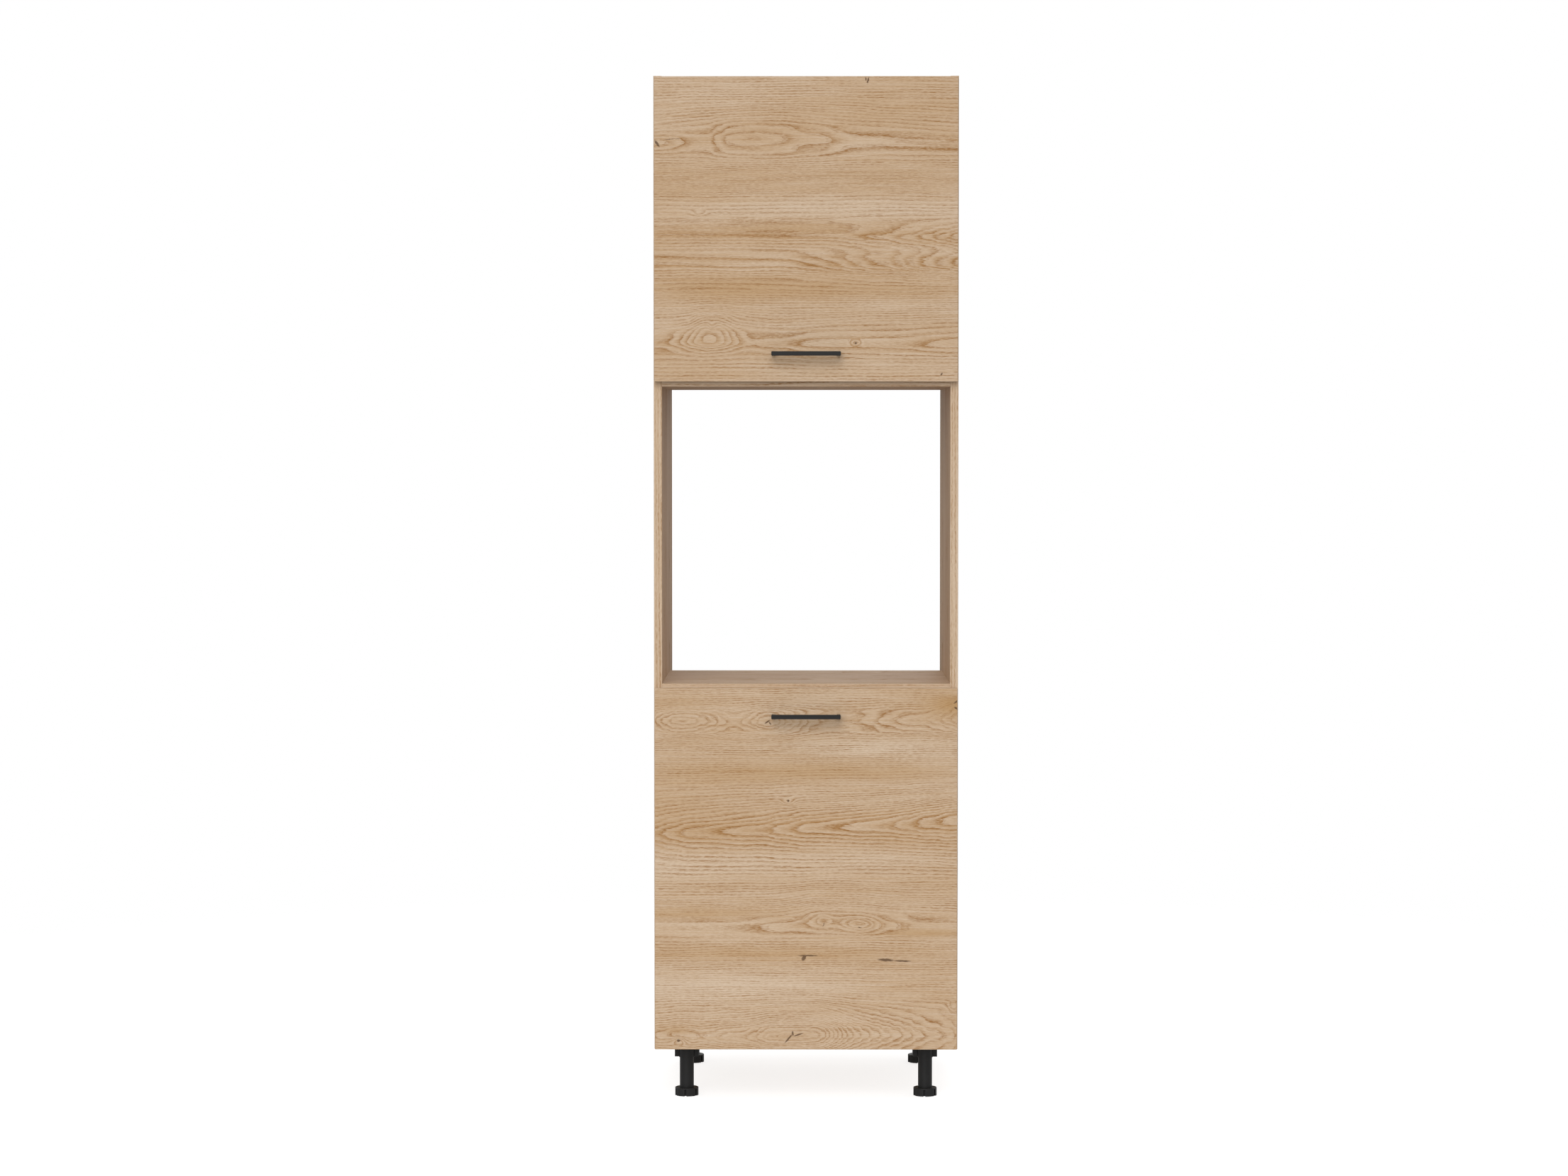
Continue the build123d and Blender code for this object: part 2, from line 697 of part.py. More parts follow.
def strut_flap_bracket(name, side):
    """Plate on the flap's back with an ear and the stud beside the rod's eye."""
    stud_end_x = strut_x - rod_eye_width / 2 - eye_gap
    ear_x = stud_end_x - 2 * flap_ear_thickness
    face = Plane(origin=(side * ear_x, fronts_back_y, strut_stud_z), x_dir=(side, 0, 0), z_dir=(0, 1, 0))
    ear = Plane(origin=(side * ear_x, fronts_back_y, strut_stud_z), x_dir=(0, 1, 0), z_dir=(side, 0, 0))
    with BuildPart() as bracket:
        with BuildSketch(face):
            with Locations((flap_ear_thickness, 0)):
                Rectangle(flap_plate_width, flap_plate_height, align=(Align.MAX, Align.CENTER))
        extrude(amount=bracket_plate)
        with BuildSketch(ear):
            Rectangle(strut_stud_reach, flap_ear_width, align=(Align.MIN, Align.CENTER))
            with Locations((strut_stud_reach, 0)):
                Circle(flap_ear_width / 2)
        extrude(amount=flap_ear_thickness)
        with BuildSketch(ear):
            with Locations((strut_stud_reach, 0)):
                Circle(stud_radius)
        extrude(amount=2 * flap_ear_thickness)
    save(bracket, name)


for side_name, side in (("left", -1), ("right", 1)):
    strut_tube(f"strut_tube_{side_name}", side)
    strut_rod(f"strut_rod_{side_name}", side)
    strut_base(f"strut_base_{side_name}", side)
    strut_flap_bracket(f"strut_flap_bracket_{side_name}", side)


# Legs: a socket with a skirt behind its collar, a tubular stem and a screw foot
def leg_socket(name, x, y):
    skirt_depth = socket_depth / 2
    with BuildPart() as socket:
        with BuildSketch(Plane((x, y, carcass_base_z))):
            Rectangle(socket_width, socket_depth)
        extrude(amount=-socket_plate)
        with BuildSketch(Plane((x, y, carcass_base_z))):
            with Locations((0, skirt_depth / 2)):
                Rectangle(socket_width, skirt_depth)
                Rectangle(socket_width - 2 * socket_wall, skirt_depth - 2 * socket_wall, mode=Mode.SUBTRACT)
        extrude(amount=-socket_skirt)
        with BuildSketch(Plane((x, y, carcass_base_z))):
            Circle(stem_radius + stem_clearance + collar_wall)
        extrude(amount=-collar_drop)
        with BuildSketch(Plane((x, y, carcass_base_z - socket_plate))):
            Circle(stem_radius + stem_clearance)
        extrude(amount=-collar_drop, mode=Mode.SUBTRACT)
    save(socket, name)


def leg_stem(name, x, y):
    with BuildPart() as stem:
        with BuildSketch(Plane((x, y, foot_height))):
            Circle(stem_radius)
        extrude(amount=carcass_base_z - socket_plate - foot_height)
        with BuildSketch(Plane((x, y, foot_height))):
            Circle(spindle_radius + thread_clearance)
        extrude(amount=spindle_length + spindle_end_gap, mode=Mode.SUBTRACT)
    save(stem, name)


def leg_foot(name, x, y):
    with BuildPart() as foot:
        with BuildSketch(Plane((x, y, 0))):
            Circle(foot_radius)
        extrude(amount=foot_height)
        fillet(foot.edges().group_by(Axis.Z)[-1], foot_round)
        with BuildSketch(Plane((x, y, 0))):
            with PolarLocations(foot_radius, foot_notches, start_angle=foot_turn - 90):
                Rectangle(2 * foot_notch_depth, foot_notch_width)
        extrude(amount=foot_height - foot_rim, mode=Mode.SUBTRACT)
        with BuildSketch(Plane((x, y, foot_height))):
            Circle(spindle_radius)
        extrude(amount=spindle_length)
    save(foot, name)


front_leg_y = front_y + leg_from_front
leg_rows = (("front", front_leg_y), ("back", front_leg_y + leg_row_distance))
for row_name, leg_y in leg_rows:
    for side_name, side in (("left", -1), ("right", 1)):
        leg_x = side * leg_from_middle
        leg_socket(f"leg_socket_{row_name}_{side_name}", leg_x, leg_y)
        leg_stem(f"leg_stem_{row_name}_{side_name}", leg_x, leg_y)
        leg_foot(f"leg_foot_{row_name}_{side_name}", leg_x, leg_y)
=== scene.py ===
# %% [markdown]
# # A tall oven cabinet in light oak
#
# The cabinet is a tall kitchen unit: a lift-up flap, an open niche for an oven, a door
# below, black bar handles and black levelling legs. All its boards, hinges, struts and
# legs come from the imported CAD model and are only dressed here. The lesson is about wood:
# how to draw a board's growth rings with arithmetic, so that knots and pointed arches
# stand where they stand on the real fronts. Screws, too small for the CAD model, are
# modelled at the end.

# %% Load the frame
import bpy
import json
import math
from collections import namedtuple
from mathutils import Matrix, Vector


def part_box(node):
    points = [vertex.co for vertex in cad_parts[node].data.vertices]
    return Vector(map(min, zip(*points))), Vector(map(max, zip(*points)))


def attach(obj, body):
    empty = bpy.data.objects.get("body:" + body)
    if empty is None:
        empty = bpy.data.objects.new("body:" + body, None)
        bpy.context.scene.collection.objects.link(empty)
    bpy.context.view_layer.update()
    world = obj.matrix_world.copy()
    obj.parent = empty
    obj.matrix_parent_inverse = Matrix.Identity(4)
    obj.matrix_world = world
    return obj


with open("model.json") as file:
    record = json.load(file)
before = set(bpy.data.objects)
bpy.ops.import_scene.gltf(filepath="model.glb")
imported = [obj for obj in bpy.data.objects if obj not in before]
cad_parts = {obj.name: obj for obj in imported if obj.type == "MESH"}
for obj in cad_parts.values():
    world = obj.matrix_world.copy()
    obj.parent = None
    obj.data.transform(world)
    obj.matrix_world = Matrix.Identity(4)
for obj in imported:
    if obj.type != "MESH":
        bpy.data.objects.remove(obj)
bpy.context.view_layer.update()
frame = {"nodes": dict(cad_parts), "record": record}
nodes = frame["nodes"]
slot_of = {row["node"]: row["material_slot"] for row in frame["record"]["subparts"]}
body_of = {
    node: body
    for body, members in frame["record"]["behaviour"]["bodies"].items()
    for node in members
}

# %% [markdown]
# ## The camera
#
# The photograph was taken from the front with a long lens, a little above the middle of
# the cabinet. A long lens is a camera far away: the side walls of the niche show only a
# sliver. The camera is tilted down and turned slightly, rather than shifted, so that other
# views of the same scene stay centred.

# %% Place the camera
CAMERA_DISTANCE = 7.383
CAMERA_HEIGHT = 1.292
LENS_MM = 86.0
SENSOR_MM = 36.0
TILT_DOWN = math.radians(2.155)
TURN_LEFT = math.radians(0.337)

carcass_front_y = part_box("side_panel_left")[0].y
camera_data = bpy.data.cameras.new("studio_camera")
camera_data.lens = LENS_MM
camera_data.sensor_width = SENSOR_MM
camera = bpy.data.objects.new("studio_camera", camera_data)
camera.location = (0, carcass_front_y - CAMERA_DISTANCE, CAMERA_HEIGHT)
camera.rotation_euler = (math.radians(90) - TILT_DOWN, 0, TURN_LEFT)
bpy.context.scene.collection.objects.link(camera)
bpy.context.scene.camera = camera
print("camera at", [round(v, 3) for v in camera.location])

# %% [markdown]
# ## Shader maths as plain Python
#
# A material is a tree of nodes. Wiring dozens of Math nodes by hand is slow to write and
# slower to read, so one small class wraps a socket and lets Python's own operators add the
# nodes. `1 - mask` then is a Subtract node, and `node` makes any other kind.

# %% A socket that does arithmetic
def set_curve(mapping, points):
    """Draw a Float Curve smoothly through points, which run from 0 to 1 both ways."""
    curve = mapping.curves[0]
    while len(curve.points) < len(points):
        curve.points.new(0.5, 0.5)
    for point, place in zip(curve.points, points):
        point.location = place
        point.handle_type = "AUTO_CLAMPED"
    mapping.update()


class Wire:
    """An output socket in a node tree. Sums and products of wires add Math nodes."""

    def __init__(self, tree, socket=None):
        self.tree = tree
        self.socket = socket

    def node(self, kind, settings=None, sockets=None, out=0):
        """Add a node: its settings first, then its sockets' values or links."""
        made = self.tree.nodes.new("ShaderNode" + kind)
        for name, value in (settings or {}).items():
            if name == "curve":
                set_curve(made.mapping, value)
            else:
                setattr(made, name, value)
        for key, value in (sockets or {}).items():
            if isinstance(value, Wire):
                self.tree.links.new(value.socket, made.inputs[key])
            else:
                made.inputs[key].default_value = value
        return Wire(self.tree, made.outputs[out] if made.outputs else None)

    def split(self):
        """The three parts of a vector."""
        parts = self.node("SeparateXYZ", sockets={0: self}).socket.node
        return [Wire(self.tree, socket) for socket in parts.outputs]

    def math(self, operation, *values):
        return self.node("Math", {"operation": operation}, dict(enumerate(values)))

    def __add__(self, other):
        return self.math("ADD", self, other)

    def __sub__(self, other):
        return self.math("SUBTRACT", self, other)

    def __rsub__(self, other):
        return self.math("SUBTRACT", other, self)

    def __mul__(self, other):
        return self.math("MULTIPLY", self, other)

    def __truediv__(self, other):
        return self.math("DIVIDE", self, other)

    def __pow__(self, other):
        return self.math("POWER", self, other)

    def __gt__(self, other):
        return self.math("GREATER_THAN", self, other)

    __radd__ = __add__
    __rmul__ = __mul__


print("sums, products and powers of wires now add Math nodes")

# %% [markdown]
# ## The two ends of a material
#
# Every finish starts as an empty tree and ends in a Principled shader, so both ends are
# written once. Colours are easiest to choose as they look on a screen, from 0 to 255.
# Blender reckons in light, so each is turned into a linear value once.

# %% Colours, and a material's first and last nodes
def tone(red, green, blue):
    """A screen colour, 0 to 255, as linear light."""
    def linear(value):
        value /= 255
        return value / 12.92 if value <= 0.04045 else ((value + 0.055) / 1.055) ** 2.4
    return (linear(red), linear(green), linear(blue), 1.0)


def new_material(name):
    """An empty material, and a wire to start its tree from."""
    material = bpy.data.materials.new(name)
    material.use_nodes = True
    material.node_tree.nodes.clear()
    return material, Wire(material.node_tree)


def finish_material(start, colour, roughness, normal=None, **constants):
    """Feed a Principled shader; constants are numbers set on its own sockets."""
    sockets = {"Base Color": colour, "Roughness": roughness}
    if normal is not None:
        sockets["Normal"] = normal
    sockets.update({name.replace("_", " "): value for name, value in constants.items()})
    surface = start.node("BsdfPrincipled", sockets=sockets)
    start.node("OutputMaterial", sockets={"Surface": surface})


print("middle grey on the screen is", round(tone(128, 128, 128)[0], 3), "as light")

# %% [markdown]
# A few more helpers serve every finish: a fade from one colour to another, a random value
# that is stretched along the grain, a soft step that turns such a value into a mask, and a
# relief for the light to read. A Mapping node could stretch the noise, but two products do
# the same and keep its scale in waves per metre, which can be counted on a real board. Each
# noise is cut from its own slice, so that no two of them repeat each other.

# %% Fades, noises, soft steps and relief
Noise = namedtuple("Noise", "along across slice detail", defaults=(2.0,))


def mix(start, share, first, second):
    """One colour fading into another."""
    settings = {"data_type": "RGBA", "clamp_factor": True}
    return start.node("Mix", settings, {0: share, 6: first, 7: second}, out=2)


def grain_noise(start, u, v, noise, seed=0.0):
    """Soft random values, 0 to 1, with so many waves per metre along and across."""
    sockets = {0: u * noise.along, 1: v * noise.across, 2: seed + noise.slice}
    point = start.node("CombineXYZ", sockets=sockets)
    sockets = {"Vector": point, "Scale": 1.0, "Detail": noise.detail}
    return start.node("TexNoise", sockets=sockets)


def between(start, value, low, high):
    """0 below low, 1 above high, and a smooth step from one to the other."""
    sockets = {"Value": value, "From Min": low, "From Max": high}
    return start.node("MapRange", {"interpolation_type": "SMOOTHSTEP"}, sockets)


def scaled(value, gain, least):
    """A value that runs from least, where it was 0, to gain more, where it was 1."""
    return value * gain + least


def relief(start, height, strength, depth, pressed_in=False):
    """The normal of a finely uneven surface, so many metres deep."""
    sockets = {"Strength": strength, "Distance": depth, "Height": height}
    return start.node("Bump", {"invert": pressed_in}, sockets)


print("a noise has:", ", ".join(Noise._fields))

# %% [markdown]
# ## How a board gets its rings
#
# A tree trunk is a stack of cones, one for each year. A saw cut along the trunk shows a
# line wherever the distance to the core is a whole number of years. Straight lines come
# from the part of the board where that distance only changes across the grain. Where the
# cut comes nearest to the core the lines turn round, and draw the pointed arches that are
# called a crown.
#
# So a board needs a profile, the number of rings at each height across it, which is lowest
# on the line of a crown. Each crown adds rings along the grain: an arch has its tip wherever
# that number is whole. A knot is a hill or a hollow in the number of rings, and a bend pushes
# the lines up or down where they go round something. The laminate on this cabinet is a print
# of just such boards, so its lines are worked out in the same way.

# %% The marks in a board
Crown = namedtuple("Crown", "across reach ragged rings")
Knot = namedtuple("Knot", "along across reach_along reach_across rings")
Bend = namedtuple("Bend", "across reach lifts")
Crack = namedtuple("Crack", "along across length width turn")
Patch = namedtuple("Patch", "along across reach_along reach_across tint")
Board = namedtuple(
    "Board", "grain cross ends sides profile crowns knots bends patches cracks seed"
)
print("a board has:", ", ".join(Board._fields))

# %% Hills and hand-drawn curves
def bell(far):
    """1 where far is 0, falling smoothly away."""
    return far.math("EXPONENT", far * far * -1.0)


def hill(u, v, spot):
    """A smooth hill over a knot or a patch."""
    along = bell((u - spot.along) / spot.reach_along)
    return along * bell((v - spot.across) / spot.reach_across)


def curve_along(value, ends, points, most):
    """A curve through the given (place, height) points, 0 to most."""
    low, high = ends
    shares = [((place - low) / (high - low), height / most) for place, height in points]
    sockets = {"Value": (value - low) / (high - low)}
    return value.node("FloatCurve", {"curve": shares}, sockets) * most


print("a hill falls to", round(math.exp(-1), 2), "of its height at its reach")

# %% Count the rings
MOST_RINGS = 60.0
MOST_LIFT = 0.05
BLUNTNESS = 0.12


def bend_lines(u, v, board):
    """Distance across the grain, shifted where the lines go round something."""
    for bend in board.bends:
        points = [(along, lift + MOST_LIFT / 2) for along, lift in bend.lifts]
        lift = curve_along(u, board.ends, points, MOST_LIFT) - MOST_LIFT / 2
        v = v - lift * bell((v - bend.across) / bend.reach)
    return v


def ring_number(u, v, serration, board):
    """How many rings away the core of the trunk is, and how near a crown is."""
    v = bend_lines(u, v, board)
    number = curve_along(v, board.sides, board.profile, MOST_RINGS)
    in_crown = None
    for crown in board.crowns:
        ragged_u = u + serration * crown.ragged
        along = curve_along(ragged_u, board.ends, crown.rings, MOST_RINGS)
        blunt = along + along.math("SINE", along * math.tau) * BLUNTNESS
        near = bell((v - crown.across) / crown.reach)
        number = number + blunt * near
        close = near * near * crown.ragged
        in_crown = close if in_crown is None else in_crown.math("MAXIMUM", in_crown, close)
    for knot in board.knots:
        number = number + hill(u, v, knot) * knot.rings
    return number, in_crown


print("a curve holds up to", MOST_RINGS, "rings, and a bend up to", MOST_LIFT / 2, "m")

# %% Browner patches and dark cracks
def tint_share(u, v, clouds, patches):
    """Above 0 where the wood is browner than most, below 0 where it is paler."""
    share = clouds
    for patch in patches:
        share = share + hill(u, v, patch) * patch.tint
    return share


def crack_mask(u, v, cracks):
    """1 inside the dark splits of the wood, falling smoothly away."""
    mask = None
    for crack in cracks:
        turn = math.radians(crack.turn)
        du, dv = u - crack.along, v - crack.across
        lengthwise = (du * math.cos(turn) + dv * math.sin(turn)) / crack.length
        sideways = (dv * math.cos(turn) - du * math.sin(turn)) / crack.width
        spot = bell(lengthwise) * bell(sideways)
        mask = spot if mask is None else mask.math("MAXIMUM", mask, spot)
    return mask


print("patches and cracks are hills too")

# %% [markdown]
# ## The oak finish
#
# Oak is a ring-porous wood: every ring starts with a row of open pores, seen as a line of
# fine dark dashes, and fades into dense pale wood. On the real laminate all of this is a
# print under a thin matt skin. A photograph of oak could be laid on the boards, but a
# drawing by numbers stays sharp at any distance and never repeats.
#
# Faces and edges need different treatment. The edge strips of a board run along the edge,
# whatever the grain of its face, so the direction is chosen from the surface's own normal.

# %% The colours of oak
LATEWOOD = tone(212, 189, 163)
EARLYWOOD = tone(189, 151, 105)
PORE = tone(152, 106, 55)
HONEY = tone(189, 152, 106)
PALE = tone(224, 205, 182)
CRACK = tone(92, 66, 44)
print("a pore gives back", round(PORE[0] / LATEWOOD[0], 2), "of the red of late wood")

# %% Along and across the grain
AXES = "XYZ"
TURNED_TO = 0.7


def board_directions(start, board):
    """Distance along and across the grain, on the faces and on the edges."""
    place = start.node("TexCoord", out="Object").split()
    facing = start.node("TexCoord", out="Normal").split()
    grain, cross = AXES.index(board.grain), AXES.index(board.cross)
    through = len(AXES) - grain - cross
    on_end = facing[grain].math("ABSOLUTE", facing[grain]) > TURNED_TO
    on_edge = facing[cross].math("ABSOLUTE", facing[cross]) > TURNED_TO
    on_strip = on_end.math("MAXIMUM", on_end, on_edge)
    u = place[grain] + (place[cross] - place[grain]) * on_end
    v = place[cross] + (place[through] - place[cross]) * on_strip
    return u, v, on_strip, facing


print("a face counts as an edge where its normal is over", TURNED_TO, "along that axis")

# %% [markdown]
# A tree grows unevenly, so its lines waver: in long swings, in ripples and in a fine jitter.
# Some years are narrow and some wide, which crowds the lines or spreads them, though less
# inside a crown. Where an arch crosses the grain the dashes still run along the grain, so
# its edge looks serrated. That comes from shifting each fine row of fibres a little along
# the grain before the rings are counted. A narrow strip gets half a ring more, so that no
# line falls on its whole width.

# %% Rings that waver
WANDER, WANDER_PUSH = Noise(2.6, 9.0, 0.0), 0.012
RIPPLE, RIPPLE_PUSH, RIPPLE_SLIP = Noise(11.0, 36.0, 1.7), 0.0050, 0.010
JITTER, JITTER_PUSH = Noise(55.0, 190.0, 2.6), 0.0020
FIBRE_ROWS, SERRATION = Noise(24.0, 620.0, 3.1), 0.024
CROWDING, CROWDED_RINGS, CALM_IN_CROWN = Noise(2.2, 46.0, 5.3), 1.7, 1.1
STRIP_RINGS = 0.5


def wavering_rings(start, u, v, on_strip, board):
    """The number of rings along wavering lines, and how near a crown is."""
    wander = grain_noise(start, u, v, WANDER, board.seed) - 0.5
    ripple = grain_noise(start, u, v, RIPPLE, board.seed) - 0.5
    jitter = grain_noise(start, u, v, JITTER, board.seed) - 0.5
    rows = grain_noise(start, u, v, FIBRE_ROWS, board.seed) - 0.5
    v = v + wander * WANDER_PUSH + ripple * RIPPLE_PUSH + jitter * JITTER_PUSH
    crowding = grain_noise(start, u, v, CROWDING, board.seed) - 0.5
    number, in_crown = ring_number(u + ripple * RIPPLE_SLIP, v, rows * SERRATION, board)
    number = number + crowding * (CROWDED_RINGS - in_crown * CALM_IN_CROWN)
    return number + on_strip * STRIP_RINGS, in_crown


print("ripples push the lines by up to", 1000 * RIPPLE_PUSH / 2, "mm")

# %% [markdown]
# The part of the ring number after the point says how old a ring's wood is: 0 is the first
# of the year, with its row of pores, and just under 1 is the last. So a high power of what is
# left of the year gives a thin dark line, and a low power a soft brown band. Each ring has a
# random weight, because no two years are alike, and fainter lines at half rings fill the
# wide ones. The pairs below are a gain and a least value.

# %% The line and the band of each ring
FADING, FADING_STEP = Noise(9.0, 60.0, 8.9), (0.34, 0.66)
BREAKS, BREAKS_STEP = Noise(14.0, 95.0, 10.2), (0.36, 0.60)
LINE_POWER, BEFORE_LINE_POWER, BAND_POWER = 4.0, 14.0, 1.6
LINE_BY_YEAR = (0.75, 0.35)
LINE_BY_FADING = (0.8, 0.3)
BAND_BY_CROWN = (0.85, 0.15)
BAND_BY_YEAR = (0.4, 0.6)
HALF_RING_OFFSET = 0.4
HALF_LINE_BY_RING = 0.9
HALF_LINE_SHARE = 0.75


def ring_and_age(number):
    """The whole number of a ring, and the age of its wood, 0 to 1."""
    return number.math("FLOOR", number), number.math("FRACT", number)


def random_of(ring):
    """One random value, 0 to 1, for each whole number."""
    return ring.node("TexWhiteNoise", {"noise_dimensions": "1D"}, {"W": ring})


def lines_and_bands(start, u, v, number, in_crown, seed):
    """How strongly a ring's dark line and its brown band show at a place."""
    ring, age = ring_and_age(number)
    weight = random_of(ring)
    fading = between(start, grain_noise(start, u, v, FADING, seed), *FADING_STEP)
    crest = (1 - age) ** LINE_POWER + age ** BEFORE_LINE_POWER
    year_line = crest * scaled(weight, *LINE_BY_YEAR) * scaled(fading, *LINE_BY_FADING)

    half_ring, half_age = ring_and_age(number * 2.0 + HALF_RING_OFFSET)
    breaks = between(start, grain_noise(start, u, v, BREAKS, seed), *BREAKS_STEP)
    half_weight = random_of(half_ring + 0.5) * HALF_LINE_BY_RING
    half_line = (1 - half_age) ** LINE_POWER * half_weight * breaks

    line = year_line.math("MAXIMUM", year_line, half_line * HALF_LINE_SHARE)
    soft = (1 - age) ** BAND_POWER
    band = soft * scaled(in_crown, *BAND_BY_CROWN) * scaled(weight, *BAND_BY_YEAR)
    return line, band


print("half rings show at", HALF_LINE_SHARE, "of a full ring's strength")

# %% [markdown]
# The colour is laid on like glazes, from pale to dark: fibres, large tints, bands, lines,
# dashes and pores, and the cracks last. Dashes and pores are dark where a line runs and
# almost vanish elsewhere. Edge strips are a shade paler than the faces, as on the cabinet.

# %% Lay the colours on
Strength = namedtuple("Strength", "on_line on_band elsewhere")

FIBRES, BROWN_FIBRES, BAND_BY_FIBRES = Noise(9.0, 820.0, 15.4, 3.0), (1.4, -0.42), (0.9, 0.5)
CLOUDS, CLOUD_TINT = Noise(1.6, 9.0, 18.8), 1.6
DASHES, DASHES_STEP = Noise(110.0, 540.0, 24.0), (0.44, 0.58)
PORES, PORES_STEP = Noise(80.0, 1150.0, 12.1), (0.45, 0.57)
FRAYED, FRAYED_ALONG, FRAYED_ACROSS = Noise(160.0, 420.0, 21.0), 0.004, 0.003
CRACK_STEP = (0.25, 0.75)
STRIP_PALENESS = 0.4
TINT_STRENGTH = 0.8
LINE_STRENGTH = 0.36
DASH_STRENGTH = Strength(0.70, 0.15, 0.09)
PORE_STRENGTH = Strength(0.85, 0.40, 0.09)
CRACK_STRENGTH = 0.85


def by_ring(line, band, strength):
    """A strength that follows the lines and the bands."""
    return line * strength.on_line + band * strength.on_band + strength.elsewhere


def oak_colour(start, u, v, on_strip, line, band, fibres, pores, board):
    """The colour of the laminate's print."""
    dashes = between(start, grain_noise(start, u, v, DASHES, board.seed), *DASHES_STEP)
    clouds = grain_noise(start, u, v, CLOUDS, board.seed) - 0.5
    tint = tint_share(u, v, clouds * CLOUD_TINT, board.patches) - on_strip * STRIP_PALENESS
    colour = mix(start, scaled(fibres, *BROWN_FIBRES), LATEWOOD, EARLYWOOD)
    colour = mix(start, tint * TINT_STRENGTH, colour, HONEY)
    colour = mix(start, tint * -TINT_STRENGTH, colour, PALE)
    colour = mix(start, band * scaled(fibres, *BAND_BY_FIBRES), colour, EARLYWOOD)
    colour = mix(start, line * LINE_STRENGTH, colour, PORE)
    colour = mix(start, dashes * by_ring(line, band, DASH_STRENGTH), colour, PORE)
    colour = mix(start, pores * by_ring(line, band, PORE_STRENGTH), colour, PORE)
    if board.cracks:
        edge = grain_noise(start, u, v, FRAYED, board.seed) - 0.5
        mask = crack_mask(u + edge * FRAYED_ALONG, v + edge * FRAYED_ACROSS, board.cracks)
        cracks = between(start, mask, *CRACK_STEP)
        colour = mix(start, cracks * CRACK_STRENGTH, colour, CRACK)
    return colour


print("there are", PORES.across, "rows of pores in a metre")

# %% [markdown]
# The back edges of the carcass have no strip and show the pressed chips of the board inside.
# A Voronoi texture is made for that: each of its cells is one chip with a shade of its own.
# The print also has a faint relief: its pores are pressed in, which the light catches, and
# the pressed places are a little duller than the rest.

# %% Pressed chips
CHIPS_PALE = tone(196, 168, 128)
CHIPS_DARK = tone(122, 88, 54)
CHIPS_PER_METRE = 380.0


def speckle(start, per_metre, detail=2.0):
    """Fine even noise in the object's own space."""
    place = start.node("TexCoord", out="Object")
    return start.node("TexNoise", sockets={"Vector": place, "Scale": per_metre, "Detail": detail})


def raw_chips(start):
    """Pressed chips, as on a sawn edge with no strip."""
    place = start.node("TexCoord", out="Object")
    cells = {"Vector": place, "Scale": CHIPS_PER_METRE}
    chips = start.node("TexVoronoi", sockets=cells, out="Color").split()[0]
    dust = speckle(start, 900.0, detail=3.0)
    return mix(start, chips * 0.6 + dust * 0.5 - 0.15, CHIPS_PALE, CHIPS_DARK)


print("chips are about", round(1000 / CHIPS_PER_METRE, 1), "mm across")

# %% Oak laminate
PORE_GROOVE, FIBRE_GROOVE = 0.5, 0.25
GROOVE_STRENGTH, GROOVE_DEPTH = 0.10, 0.0003
FIBRE_DULLNESS, LINE_DULLNESS, SKIN_DULLNESS = 0.10, 0.12, 0.52


def oak(name, board, raw_back=False):
    """Light oak laminate with the rings of one board."""
    material, start = new_material(name)
    u, v, on_strip, facing = board_directions(start, board)
    number, in_crown = wavering_rings(start, u, v, on_strip, board)
    line, band = lines_and_bands(start, u, v, number, in_crown, board.seed)
    fibres = grain_noise(start, u, v, FIBRES, board.seed)
    pores = between(start, grain_noise(start, u, v, PORES, board.seed), *PORES_STEP)
    colour = oak_colour(start, u, v, on_strip, line, band, fibres, pores, board)
    if raw_back:
        colour = mix(start, facing[AXES.index("Y")] > TURNED_TO, colour, raw_chips(start))
    grooves = line * pores * PORE_GROOVE + fibres * FIBRE_GROOVE
    normal = relief(start, grooves, GROOVE_STRENGTH, GROOVE_DEPTH, pressed_in=True)
    roughness = fibres * FIBRE_DULLNESS + line * LINE_DULLNESS + SKIN_DULLNESS
    finish_material(start, colour, roughness, normal, Specular_IOR_Level=0.22)
    return material


print("pores are pressed in by up to", 1000 * GROOVE_DEPTH, "mm")

# %% [markdown]
# ## The boards
#
# Each front has its own sheet, with the crowns, knots and cracks in the places where the
# photograph shows them, in metres from the middle of the cabinet and up from the floor.
# A picture of the board could be stretched over it, but a list of marks can be read and
# changed one by one. The sides and the level boards are less seen and share one sheet each.

# %% [markdown]
# The flap, from the top: a long drop that is blunt at the left and pointed at the right, with
# a small knot beside it that the left edge cuts. Two crowns below the middle, which open to
# the right. A knot at the lower left that pushes the lines up over it, and one more crown
# behind the handle.

